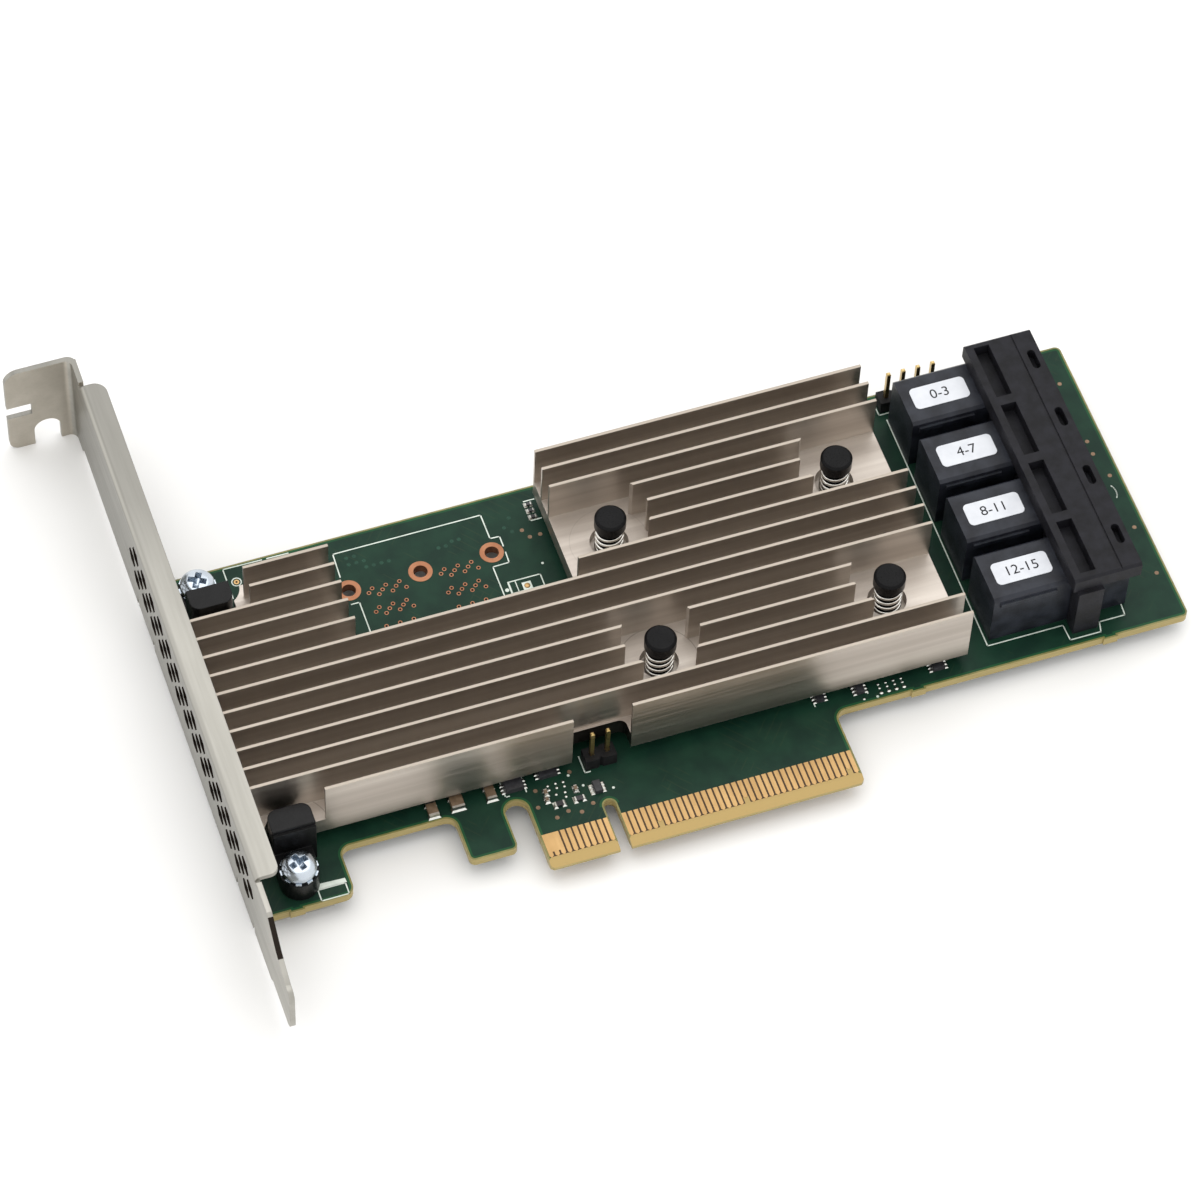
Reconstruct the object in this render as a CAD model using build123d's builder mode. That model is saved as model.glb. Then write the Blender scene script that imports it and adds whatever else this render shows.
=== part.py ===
from build123d import *
import os
from math import cos, pi, radians, sin, tan

os.makedirs("parts", exist_ok=True)

# Storage controller card with an edge connector, a finned heat sink, a full-height bracket and
# four ganged cable receptacles. Millimetres. The origin lies on the centre line of the key notch,
# on the lower edge of the contact fingers and on the component face of the board. +X runs along
# the card to the receptacles, +Y from the fingers to the upper edge, +Z out of the component face.

# Circuit board
BOARD_T = 1.57
BOARD_LEFT = -56.8
BOARD_RIGHT = 98.9
BOARD_TOP = 68.9
FOOT_RIGHT = -42.1
FOOT_Y = 4.9
NOTCH_TOP = 13.4
HOOK_LEFT = -23.6
FINGER_LEFT = -12.15
FINGER_RIGHT = 39.15
SHOULDER_Y = 13.3
HOOK_SLOT_W = 3.7
HOOK_SLOT_TOP = 13.2
KEY_W = 1.9
KEY_TOP = 8.9
BEVEL_Y = 1.3
BEVEL_ANGLE = 20
CORNER_R = 1.0
INNER_R = 1.7
STUB_X = (-51.5, 53.1, 85.5)
STUB_W = 2.4
STUB_OUT = 0.3

# Contact fingers
CONTACT_PITCH = 1.0
CONTACT_W = 0.7
CONTACT_T = 0.05
CONTACT_TOP = 5.95
CONTACT_TIP = 1.63
CONTACT_SHORT_TIP = 2.65
SHORT_CONTACTS = (17, 31, 48)
MERGED_LAST = 3
FIRST_CONTACT_X = -11.5
FIRST_LONG_X = 1.5
SHORT_SECTION = 11
CONTACTS = 49

# Plated holes and their rings
PLATED_HOLES = ((-26.4, 58.45), (-14.45, 58.45), (-2.5, 58.45))
BARREL_R = 1.25
BARREL_BORE_R = 1.15
RING_R = 1.95

# Bracket
SHEET = 0.86
BRACKET_X = -58.5
BRACKET_TOP = 15.5
BRACKET_BOTTOM = -2.92
FLANGE_X = -54.5
FLANGE_LOW_Y = 3.1
FLANGE_HIGH_Y = 99.0
FLANGE_LOW_R = 1.4
FLANGE_HIGH_R = 2.2
BEND_IN = 0.15
BEND_OUT = BEND_IN + SHEET
SEAT_Y = 104.54
TAB_END_X = -69.6
TAB_BOTTOM = -4.4
TAB_BEND_IN = 1.2
TAB_SHOULDER_Y = 99.7
TAB_TOP_R = 2.5
TAB_BOTTOM_R = 1.8
TONGUE_END_Y = -14.2
TONGUE_TOP = 8.8
TONGUE_BOTTOM = -1.4
TONGUE_R = 1.5
TONGUE_TOP_Y = -12.3
SHOULDER_TOP_Y = -7.5
SHOULDER_TOP_Z = 11.3
PLATE_LOW_Y = -3.1
PLATE_NECK_Y = -5.4
PLATE_NECK_Z = -2.4
PLATE_HEEL_Y = 6.4
PLATE_CUT = 1.2
SCREW_NOTCH_X = -63.17
SCREW_NOTCH_R = 2.21
SCREW_NOTCH_TOP = 1.4
SIDE_SLOT_X = -65.45
SIDE_SLOT_Z = (3.9, 6.65)
RELIEF_W = 0.8
VENT_R = 1.8
VENT_PITCH = 4.57
VENT_ROWS = 15
VENT_TOP_Y = 70.0
VENT_Z = 7.75
VENT_COLUMN = 3.25
TAPPED_TAB_X = -45.5
TAPPED_TAB_W = 8.0

# Bracket holders with their screws
SCREW_X = -49.8
LOWER_SCREW_Y = 9.2
UPPER_SCREW_Y = 63.6
SCREW_R = 1.45
SCREW_FIT = 0.05
BOARD_SCREW_R = 1.6
SCREW_TIP = -3.2
SCREW_POINT = 0.3
HEAD_R = 2.775
HEAD_T = 1.9
HEAD_EDGE = 0.7
HEAD_ROUND = 0.65
HEAD_CROWN = 0.35
RECESS_LEN = 2.9
RECESS_W = 0.7
RECESS_DEPTH = 1.2
RECESS_TURN = 20
WASHER_T = 0.5
WASHER_R = 2.6
WASHER_TOOTH_R = 3.0
WASHER_TEETH = 10
WASHER_TOOTH_W = 0.9
BOSS_R = 3.1
BOSS_TOP = 4.0
TOWER_OFFSET = 5.9
TOWER_W = 6.9
TOWER_D = 3.9
TOWER_X = -49.3
TOWER_TOP = 10.0
TOWER_R = 1.6
TOWER_LEDGE = 0.9
TOWER_STEP = 0.35
DRIVER_R = 3.45
DRIVER_TOP = 7.2

# Heat sink
SINK_BOTTOM = 2.4
BASE_TOP = 5.7
FIN_TOP = 14.1
FIN_T = 0.5
FIN_PITCH = 3.56
SINK_BACK = 65.95
SINK_FRONT = SINK_BACK - 14 * FIN_PITCH - FIN_T
SINK_LEFT = -57.0
SINK_RIGHT = 62.0
WINDOW_LEFT = -29.7
WINDOW_RIGHT = 6.9
WINDOW_Y = 41.4
WINDOW_R = 1.5
LEFT_BLOCK_X = -45.3
LEFT_BLOCK_BACK = 61.0
LEFT_BLOCK_FIN_X = -43.6
LEFT_STRIP_BACK = 53.4
FRONT_FIN_X = -43.5
HEADER_CUT = (-3.6, 6.0)
HEADER_CUT_BACK = 18.8
HEADER_CUT_R = 1.2
HOLDER_CUT_R = 4.05
UPPER_CUT = (-46.8, 61.2)
UPPER_CUT_R = 3.1

# Push pins and springs
PIN_LEFT_X = 14.6
PIN_RIGHT_X = 52.6
PIN_LOW_Y = 27.2
PIN_HIGH_Y = 51.1
POCKET_R = 6.2
RECESS_R = 3.1
RECESS_FLOOR = 3.7
PIN_R = 1.45
PIN_FIT = 0.05
CAP_R = 2.55
CAP_BOTTOM = 10.2
CAP_TOP = 12.5
CAP_EDGE = 0.4
BARB_R = 1.8
BARB_TIP_R = 1.1
BARB_TIP = -4.2
BARB_SLIT = 0.6
SPRING_R = 2.05
WIRE_R = 0.25
SPRING_TURNS = 4.5
SPRING_FIT = 0.05
TURN_POINTS = 12

# Controller below the heat sink
CHIP = (33.6, 39.15)
SUBSTRATE = 29.0
SUBSTRATE_T = 1.1
LID = 25.0
LID_TOP = 2.1
LID_EDGE = 0.25
PAD = 22.0

# Parts on the board below the heat sink: their places, then length, width and height
FLASH_AT = ((-22.0, 22.0),)
FLASH = (5.3, 5.3, 1.8)
MEMORY_AT = ((2.0, 28.0), (2.0, 37.0))
MEMORY = (11.0, 8.0, 1.1)
STAGE_AT = ((-47.0, 28.0), (-47.0, 37.0), (-47.0, 46.0))
STAGE = (5.0, 6.0, 0.9)
INDUCTOR_AT = ((-37.5, 28.0), (-37.5, 37.0), (-37.5, 46.0))
INDUCTOR = (6.6, 6.4, 2.0)
INDUCTOR_EDGE = 0.6
BULK_AT = ((-28.5, 30.0), (-28.5, 36.0), (56.0, 39.0), (56.0, 44.5))
BULK = (3.5, 2.8, 1.9)
CRYSTAL_AT = ((33.6, 18.5),)
CRYSTAL = (3.2, 2.5, 0.8)
UNDER_PITCH = (3.2, 2.6)
UNDER_COUNT = (5, 4)
UNDER_CHIP = (1.0, 0.5, 0.5)

# Receptacle group at the right end
PORTS = 4
PORT_PITCH = 11.9
PORT_1_Y = 58.75
HOUSING_LEFT = 66.9
HOUSING_RIGHT = 90.0
HOUSING_W = 9.2
HOUSING_TOP = 11.0
HOUSING_BEVEL = 0.5
RIB_X = (68.0, 77.4)
RIB_Z = (8.9, 9.8)
RIB_OUT = 0.35
MOUTH_BACK = 80.5
MOUTH_W = 7.4
MOUTH_Z = (1.2, 9.8)
INSERT_FRONT = 86.0
INSERT_W = 5.8
INSERT_Z = (2.6, 8.4)
SLOT_BACK = 82.0
SLOT_W = 5.2
SLOT_T = 1.0
SLOT_FLOORS = (3.4, 6.4)
BLADE_W = 0.35
BLADE_T = 0.15
BLADE_PITCH = 0.62
BLADES = 8
BLADE_END = 0.4
LABEL_X = (68.5, 77.8)
LABEL_W = 4.15
LABEL_T = 0.1
LABEL_R = 0.8
FRAME_LEFT = 79.2
FRAME_RIGHT = 90.5
FRAME_FRONT = 16.15
FRAME_BACK = 64.45
FRAME_TOP = 14.0
FRAME_EDGE = 0.4
COMB_LEFT = 79.95
COMB_RIGHT = 89.4
COMB_FIT = 0.3
LEG_RIGHT = 84.2
LEG_FRONT = 15.5
LEG_TOP = 10.8
POCKET_X = (80.5, 83.1)
POCKET_BACK = 4.65
POCKET_LEN = 10.2
POCKET_DEPTH = 2.3
SEAM_X = 87.1
SEAM_W = 0.3
SEAM_DEPTH = 0.2
OVAL_X = 88.95
OVAL_W = 1.3
OVAL_LEN = 3.75
OVAL_SHIFT = 0.3

# Pin headers
HEADER_PITCH = 2.54
HEADER_T = 2.5
HEADER_NOTCH = 0.6
POST = 0.64
POST_HOLE_R = 0.5
POST_TIP = -3.0
POST_POINT = 0.15
FOUR_PIN = (67.5, 66.4)
FOUR_PIN_TOP = 8.7
TWO_PIN = (-0.25, 16.2)
TWO_PIN_TOP = 8.3

# Small surface-mounted parts
CHIP_END = 0.3
CAPACITORS = (
    (-26.5, 15.3, 1.6, 2.6, 0.9),
    (-22.5, 15.4, 2.0, 2.5, 1.1),
    (-17.0, 15.5, 1.5, 2.6, 0.9),
    (-8.75, 13.0, 0.5, 1.0, 0.5),
    (-8.95, 11.7, 0.5, 0.9, 0.5),
    (-4.1, 12.3, 0.5, 1.0, 0.5),
)
RESISTORS = (
    (-7.35, 10.4, 1.6, 0.8, 0.45),
    (-4.1, 10.4, 1.6, 0.8, 0.45),
    (5.95, 65.5, 1.0, 0.5, 0.35),
    (5.95, 64.25, 1.0, 0.5, 0.35),
    (5.95, 63.0, 1.0, 0.5, 0.35),
)
PACKAGES = (
    (-13.2, 15.7, 3.0, 2.2, 1.2),
    (-7.45, 16.7, 3.0, 2.4, 1.0),
    (-0.85, 11.4, 1.3, 2.0, 0.9),
    (37.6, 16.6, 1.3, 2.0, 0.9),
    (44.15, 16.1, 1.3, 2.0, 0.9),
    (57.4, 16.5, 2.0, 2.0, 0.9),
)
PACKAGE_EDGE = 0.12
LEAD_OUT = 0.45
LEAD_W = 0.3
LEAD_T = 0.2
LEAD_PITCH = 0.65

SCREWS = ((SCREW_X, LOWER_SCREW_Y), (SCREW_X, UPPER_SCREW_Y))
PIN_POINTS = (
    (PIN_LEFT_X, PIN_LOW_Y),
    (PIN_RIGHT_X, PIN_LOW_Y),
    (PIN_LEFT_X, PIN_HIGH_Y),
    (PIN_RIGHT_X, PIN_HIGH_Y),
)
FOUR_POSTS = [(FOUR_PIN[0] + index * HEADER_PITCH, FOUR_PIN[1]) for index in range(4)]
TWO_POSTS = [(TWO_PIN[0] + index * HEADER_PITCH, TWO_PIN[1]) for index in range(2)]
PORT_YS = [PORT_1_Y - index * PORT_PITCH for index in range(PORTS)]


def block(x_range, y_range, z_range, mode=Mode.ADD):
    """Rectangular block given by its span along each axis."""
    spans = [high - low for low, high in (x_range, y_range, z_range)]
    with Locations((x_range[0], y_range[0], z_range[0])):
        Box(*spans, align=(Align.MIN, Align.MIN, Align.MIN), mode=mode)


def drum(point, radius, z_range, mode=Mode.ADD):
    """Upright cylinder over a point of the board."""
    with Locations((point[0], point[1], z_range[0])):
        Cylinder(
            radius,
            z_range[1] - z_range[0],
            align=(Align.CENTER, Align.CENTER, Align.MIN),
            mode=mode,
        )


def patch(x_range, y_range, mode=Mode.ADD):
    """Rectangle of a sketch given by its span along both axes."""
    with Locations((x_range[0], y_range[0])):
        Rectangle(
            x_range[1] - x_range[0],
            y_range[1] - y_range[0],
            align=(Align.MIN, Align.MIN),
            mode=mode,
        )


def corner(sketch, x, y):
    """Vertex of a sketch that lies nearest to a point."""
    return sketch.vertices().sort_by_distance((x, y, 0))[0]


def contact_x(number):
    """Centre line of a contact, counted from the bracket end."""
    if number <= SHORT_SECTION:
        return FIRST_CONTACT_X + (number - 1) * CONTACT_PITCH
    return FIRST_LONG_X + (number - SHORT_SECTION - 1) * CONTACT_PITCH


def contact_pads():
    """Pad pattern of one board face: pointed pads, three of them joined at the bracket end."""
    for number in range(1, CONTACTS + 1):
        x = contact_x(number)
        half = CONTACT_W / 2
        tip = CONTACT_SHORT_TIP if number in SHORT_CONTACTS else CONTACT_TIP
        Polygon(
            (x - half, tip + half),
            (x, tip),
            (x + half, tip + half),
            (x + half, CONTACT_TOP),
            (x - half, CONTACT_TOP),
            align=None,
        )
    patch((contact_x(1), contact_x(MERGED_LAST)), (CONTACT_TIP + CONTACT_PITCH, CONTACT_TOP))


def fin_y(row):
    """Span of a fin across the card; rows count from the upper edge."""
    back = SINK_BACK - row * FIN_PITCH
    return back - FIN_T, back


# Glass-epoxy board with the foot, the retention hook, the key notch and the bevelled fingers.
with BuildPart() as circuit_board:
    with BuildSketch(Plane.XY.offset(-BOARD_T)) as board_outline:
        hook_right = FINGER_LEFT - HOOK_SLOT_W
        slot_round_y = HOOK_SLOT_TOP - HOOK_SLOT_W / 2
        Polygon(
            (BOARD_LEFT, FOOT_Y),
            (FOOT_RIGHT, FOOT_Y),
            (FOOT_RIGHT, NOTCH_TOP),
            (HOOK_LEFT, NOTCH_TOP),
            (HOOK_LEFT, FOOT_Y),
            (hook_right, FOOT_Y),
            (hook_right, slot_round_y),
            (FINGER_LEFT, slot_round_y),
            (FINGER_LEFT, 0),
            (FINGER_RIGHT, 0),
            (FINGER_RIGHT, SHOULDER_Y),
            (BOARD_RIGHT, SHOULDER_Y),
            (BOARD_RIGHT, BOARD_TOP),
            (BOARD_LEFT, BOARD_TOP),
            align=None,
        )
        for x, y in (
            (BOARD_LEFT, FOOT_Y),
            (HOOK_LEFT, FOOT_Y),
            (hook_right, FOOT_Y),
            (BOARD_RIGHT, SHOULDER_Y),
            (BOARD_RIGHT, BOARD_TOP),
            (BOARD_LEFT, BOARD_TOP),
        ):
            fillet(corner(board_outline, x, y), CORNER_R)
        for x, y in (
            (FOOT_RIGHT, FOOT_Y),
            (FOOT_RIGHT, NOTCH_TOP),
            (HOOK_LEFT, NOTCH_TOP),
            (FINGER_RIGHT, SHOULDER_Y),
        ):
            fillet(corner(board_outline, x, y), INNER_R)
        for x in (FINGER_LEFT, FINGER_RIGHT):
            chamfer(corner(board_outline, x, 0), CORNER_R / 2)
        with Locations(((FINGER_LEFT + hook_right) / 2, slot_round_y)):
            Circle(HOOK_SLOT_W / 2, mode=Mode.SUBTRACT)
        with Locations((0, KEY_TOP - KEY_W / 2)):
            Circle(KEY_W / 2, mode=Mode.SUBTRACT)
        patch((-KEY_W / 2, KEY_W / 2), (-1, KEY_TOP - KEY_W / 2), Mode.SUBTRACT)
        for x, y in zip(STUB_X, (FOOT_Y, SHOULDER_Y, SHOULDER_Y)):
            patch((x - STUB_W / 2, x + STUB_W / 2), (y - STUB_OUT, y + STUB_OUT))
        with Locations(*SCREWS):
            Circle(BOARD_SCREW_R, mode=Mode.SUBTRACT)
        with Locations(*PIN_POINTS):
            Circle(PIN_R + PIN_FIT, mode=Mode.SUBTRACT)
        with Locations(*PLATED_HOLES):
            Circle(BARREL_R, mode=Mode.SUBTRACT)
        with Locations(*FOUR_POSTS, *TWO_POSTS):
            RegularPolygon(POST_HOLE_R, 8, mode=Mode.SUBTRACT)
    extrude(amount=BOARD_T)
    bevel_z = BEVEL_Y * tan(radians(BEVEL_ANGLE))
    with BuildSketch(Plane.YZ.offset(FINGER_LEFT - 1)):
        for face, side in ((0, 1), (-BOARD_T, -1)):
            Polygon(
                (BEVEL_Y, face),
                (0, face - side * bevel_z),
                (-1, face - side * bevel_z),
                (-1, face + side),
                (BEVEL_Y, face + side),
                align=None,
            )
    extrude(amount=FINGER_RIGHT - FINGER_LEFT + 2, mode=Mode.SUBTRACT)
circuit_board.part.label = "circuit_board"
export_step(circuit_board.part, "parts/circuit_board.step")

# Gold-plated contact pads on both faces.
with BuildPart() as edge_contacts_top:
    with BuildSketch():
        contact_pads()
    extrude(amount=CONTACT_T)
edge_contacts_top.part.label = "edge_contacts_top"
export_step(edge_contacts_top.part, "parts/edge_contacts_top.step")

with BuildPart() as edge_contacts_bottom:
    with BuildSketch(Plane.XY.offset(-BOARD_T - CONTACT_T)):
        contact_pads()
    extrude(amount=CONTACT_T)
edge_contacts_bottom.part.label = "edge_contacts_bottom"
export_step(edge_contacts_bottom.part, "parts/edge_contacts_bottom.step")

# Copper barrels of the three module holes, each with a ring on both faces.
with BuildPart() as plated_hole_rings:
    for point in PLATED_HOLES:
        drum(point, BARREL_R, (-BOARD_T, 0))
        drum(point, RING_R, (0, CONTACT_T))
        drum(point, RING_R, (-BOARD_T - CONTACT_T, -BOARD_T))
        drum(point, BARREL_BORE_R, (-BOARD_T - 1, 1), Mode.SUBTRACT)
plated_hole_rings.part.label = "plated_hole_rings"
export_step(plated_hole_rings.part, "parts/plated_hole_rings.step")

# Folded steel bracket: vented plate, stiffening flange, seat tab at the top, tongue at the bottom
# and two tapped tabs under the board.
with BuildPart() as full_height_bracket:
    plate_inner = BRACKET_X + SHEET
    with BuildSketch(Plane.YZ.offset(BRACKET_X)) as plate_outline:
        Polygon(
            (SEAT_Y, BRACKET_TOP),
            (PLATE_LOW_Y, BRACKET_TOP),
            (SHOULDER_TOP_Y, SHOULDER_TOP_Z),
            (TONGUE_TOP_Y, TONGUE_TOP),
            (TONGUE_END_Y, TONGUE_TOP),
            (TONGUE_END_Y, TONGUE_BOTTOM),
            (PLATE_NECK_Y, TONGUE_BOTTOM),
            (PLATE_NECK_Y + PLATE_CUT, PLATE_NECK_Z),
            (PLATE_HEEL_Y, PLATE_NECK_Z),
            (PLATE_HEEL_Y + PLATE_CUT / 2, BRACKET_BOTTOM),
            (TAB_SHOULDER_Y, BRACKET_BOTTOM),
            (TAB_SHOULDER_Y + 1, TAB_BOTTOM),
            (SEAT_Y, TAB_BOTTOM),
            align=None,
        )
        for z in (TONGUE_TOP, TONGUE_BOTTOM):
            fillet(corner(plate_outline, TONGUE_END_Y, z), TONGUE_R)
        for column in (-1, 0, 1):
            for row in range(VENT_ROWS):
                if (column == -1 and row == 0) or (column == 1 and row == VENT_ROWS - 1):
                    continue
                y = VENT_TOP_Y - (row + column / 2) * VENT_PITCH
                with Locations((y, VENT_Z + column * VENT_COLUMN)):
                    RegularPolygon(VENT_R, 6, mode=Mode.SUBTRACT)
        for y in (LOWER_SCREW_Y, UPPER_SCREW_Y):
            for side in (-1, 1):
                edge = y + side * (TAPPED_TAB_W + RELIEF_W) / 2
                patch(
                    (edge - RELIEF_W / 2, edge + RELIEF_W / 2),
                    (BRACKET_BOTTOM - 1, -BOARD_T + RELIEF_W),
                    Mode.SUBTRACT,
                )
            patch(
                (y - TAPPED_TAB_W / 2, y + TAPPED_TAB_W / 2),
                (BRACKET_BOTTOM - 1, -BOARD_T - SHEET),
                Mode.SUBTRACT,
            )
    extrude(amount=SHEET)
    # Flange over the component side with its bend, rounded ends and bend reliefs
    with BuildSketch(Plane.XZ.offset(-FLANGE_HIGH_Y)):
        patch((BRACKET_X, FLANGE_X), (BRACKET_TOP - SHEET, BRACKET_TOP))
        patch((plate_inner, plate_inner + BEND_IN), (BRACKET_TOP - BEND_OUT, BRACKET_TOP))
        with Locations((plate_inner + BEND_IN, BRACKET_TOP - BEND_OUT)):
            Circle(BEND_IN, mode=Mode.SUBTRACT)
    extrude(amount=FLANGE_HIGH_Y - FLANGE_LOW_Y)
    with BuildSketch(Plane.XZ.offset(-FLANGE_HIGH_Y)):
        patch((BRACKET_X, BRACKET_X + BEND_OUT), (BRACKET_TOP - BEND_OUT, BRACKET_TOP))
        with Locations((BRACKET_X + BEND_OUT, BRACKET_TOP - BEND_OUT)):
            Circle(BEND_OUT, mode=Mode.SUBTRACT)
    extrude(amount=FLANGE_HIGH_Y - FLANGE_LOW_Y, mode=Mode.SUBTRACT)
    for y, radius in ((FLANGE_LOW_Y, FLANGE_LOW_R), (FLANGE_HIGH_Y, FLANGE_HIGH_R)):
        free_corner = full_height_bracket.edges().filter_by(Axis.Z)
        fillet(free_corner.sort_by_distance((FLANGE_X, y, BRACKET_TOP))[0], radius)
    for low in (FLANGE_LOW_Y - RELIEF_W, FLANGE_HIGH_Y):
        block(
            (BRACKET_X - 1, BRACKET_X + BEND_OUT),
            (low, low + RELIEF_W),
            (BRACKET_TOP - BEND_OUT, BRACKET_TOP + 1),
            Mode.SUBTRACT,
        )
    # Seat tab folded outward, with the fixing screw notch and the side slot
    with BuildSketch(Plane.XY.offset(TAB_BOTTOM)) as tab_profile:
        patch((TAB_END_X, plate_inner), (SEAT_Y, SEAT_Y + SHEET))
        patch((BRACKET_X, plate_inner), (SEAT_Y - TAB_BEND_IN, SEAT_Y))
        patch((BRACKET_X - TAB_BEND_IN, BRACKET_X), (SEAT_Y - TAB_BEND_IN, SEAT_Y))
        fillet(corner(tab_profile, plate_inner, SEAT_Y + SHEET), TAB_BEND_IN + SHEET / 2)
        with Locations((BRACKET_X - TAB_BEND_IN, SEAT_Y - TAB_BEND_IN)):
            Circle(TAB_BEND_IN, mode=Mode.SUBTRACT)
    extrude(amount=BRACKET_TOP - TAB_BOTTOM)
    notch_z = SCREW_NOTCH_TOP - SCREW_NOTCH_R
    with BuildSketch(Plane.XZ.offset(-SEAT_Y - SHEET - 1)):
        with Locations((SCREW_NOTCH_X, notch_z)):
            Circle(SCREW_NOTCH_R)
        patch(
            (SCREW_NOTCH_X - SCREW_NOTCH_R, SCREW_NOTCH_X + SCREW_NOTCH_R),
            (TAB_BOTTOM - 1, notch_z),
        )
        patch((TAB_END_X - 1, SIDE_SLOT_X), SIDE_SLOT_Z)
    extrude(amount=SHEET + 2, mode=Mode.SUBTRACT)
    for z, radius in ((BRACKET_TOP, TAB_TOP_R), (TAB_BOTTOM, TAB_BOTTOM_R)):
        tab_corner = full_height_bracket.edges().filter_by(Axis.Y)
        fillet(tab_corner.sort_by_distance((TAB_END_X, SEAT_Y + SHEET / 2, z))[0], radius)
    # Tapped tabs under the board
    for y in (LOWER_SCREW_Y, UPPER_SCREW_Y):
        block(
            (BRACKET_X, TAPPED_TAB_X),
            (y - TAPPED_TAB_W / 2, y + TAPPED_TAB_W / 2),
            (-BOARD_T - SHEET, -BOARD_T),
        )
        drum((SCREW_X, y), SCREW_R + SCREW_FIT, (-BOARD_T - 2, 0), Mode.SUBTRACT)
full_height_bracket.part.label = "full_height_bracket"
export_step(full_height_bracket.part, "parts/full_height_bracket.step")


def holder(screw_y, away):
    """Moulded holder: boss round the screw and a tower on the side away from the board edge."""
    middle = screw_y + away * TOWER_OFFSET
    far_y = middle + away * TOWER_D / 2
    near_y = middle - away * TOWER_D / 2
    front_y = near_y - away * TOWER_STEP
    x_range = (TOWER_X - TOWER_W / 2, TOWER_X + TOWER_W / 2)
    drum((SCREW_X, screw_y), BOSS_R, (0, BOSS_TOP))
    block(
        (SCREW_X - BOSS_R, SCREW_X + BOSS_R),
        sorted((screw_y, front_y)),
        (0, BOSS_TOP),
    )
    block(x_range, sorted((near_y, far_y)), (0, TOWER_TOP))
    block(x_range, sorted((front_y, near_y)), (0, TOWER_TOP - TOWER_LEDGE))


def holder_finish(part, screw_y, away):
    """Rounded far corners, driver clearance and screw hole of a holder."""
    far_y = screw_y + away * (TOWER_OFFSET + TOWER_D / 2)
    for side in (-1, 1):
        upright = part.edges().filter_by(Axis.Z)
        target = (TOWER_X + side * TOWER_W / 2, far_y, TOWER_TOP / 2)
        fillet(upright.sort_by_distance(target)[0], TOWER_R)
    drum((SCREW_X, screw_y), DRIVER_R, (BOSS_TOP, DRIVER_TOP), Mode.SUBTRACT)
    with Locations((SCREW_X, screw_y, DRIVER_TOP)):
        Cone(
            DRIVER_R,
            DRIVER_R / 2,
            TOWER_TOP - TOWER_LEDGE - DRIVER_TOP,
            align=(Align.CENTER, Align.CENTER, Align.MIN),
            mode=Mode.SUBTRACT,
        )
    drum((SCREW_X, screw_y), BOARD_SCREW_R, (-1, BOSS_TOP + 1), Mode.SUBTRACT)


with BuildPart() as lower_bracket_holder:
    holder(LOWER_SCREW_Y, 1)
    holder_finish(lower_bracket_holder, LOWER_SCREW_Y, 1)
lower_bracket_holder.part.label = "lower_bracket_holder"
export_step(lower_bracket_holder.part, "parts/lower_bracket_holder.step")

with BuildPart() as upper_bracket_holder:
    holder(UPPER_SCREW_Y, -1)
    holder_finish(upper_bracket_holder, UPPER_SCREW_Y, -1)
upper_bracket_holder.part.label = "upper_bracket_holder"
export_step(upper_bracket_holder.part, "parts/upper_bracket_holder.step")

# Pan-head screws with a cross recess, over toothed lock washers.
HEAD_BOTTOM = BOSS_TOP + WASHER_T
with BuildPart() as bracket_screws:
    with BuildSketch(Plane.XZ.offset(-LOWER_SCREW_Y)):
        with BuildLine():
            Polyline(
                (SCREW_X, SCREW_TIP),
                (SCREW_X + SCREW_R - SCREW_POINT, SCREW_TIP),
                (SCREW_X + SCREW_R, SCREW_TIP + SCREW_POINT),
                (SCREW_X + SCREW_R, HEAD_BOTTOM),
                (SCREW_X + HEAD_R, HEAD_BOTTOM),
                (SCREW_X + HEAD_R, HEAD_BOTTOM + HEAD_EDGE),
                (SCREW_X + HEAD_R - HEAD_ROUND, HEAD_BOTTOM + HEAD_T - HEAD_CROWN),
                (SCREW_X + HEAD_R - 2 * HEAD_ROUND, HEAD_BOTTOM + HEAD_T),
                (SCREW_X, HEAD_BOTTOM + HEAD_T),
                close=True,
            )
        make_face()
    revolve(axis=Axis((SCREW_X, LOWER_SCREW_Y, 0), (0, 0, 1)))
    for angle in (RECESS_TURN, RECESS_TURN + 90):
        with Locations(Location((SCREW_X, LOWER_SCREW_Y, HEAD_BOTTOM + HEAD_T), (0, 0, angle))):
            Box(RECESS_LEN, RECESS_W, 2 * RECESS_DEPTH, mode=Mode.SUBTRACT)
    spacing = UPPER_SCREW_Y - LOWER_SCREW_Y
    add(bracket_screws.part.moved(Location((0, spacing, 0))))
bracket_screws.part.label = "bracket_screws"
export_step(bracket_screws.part, "parts/bracket_screws.step")

with BuildPart() as lock_washers:
    with BuildSketch(Plane.XY.offset(BOSS_TOP)):
        for point in SCREWS:
            with Locations(point):
                Circle(WASHER_R)
                with PolarLocations(WASHER_R, WASHER_TEETH):
                    Rectangle(2 * (WASHER_TOOTH_R - WASHER_R), WASHER_TOOTH_W)
                Circle(BOARD_SCREW_R, mode=Mode.SUBTRACT)
    extrude(amount=WASHER_T)
lock_washers.part.label = "lock_washers"
export_step(lock_washers.part, "parts/lock_washers.step")

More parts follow.
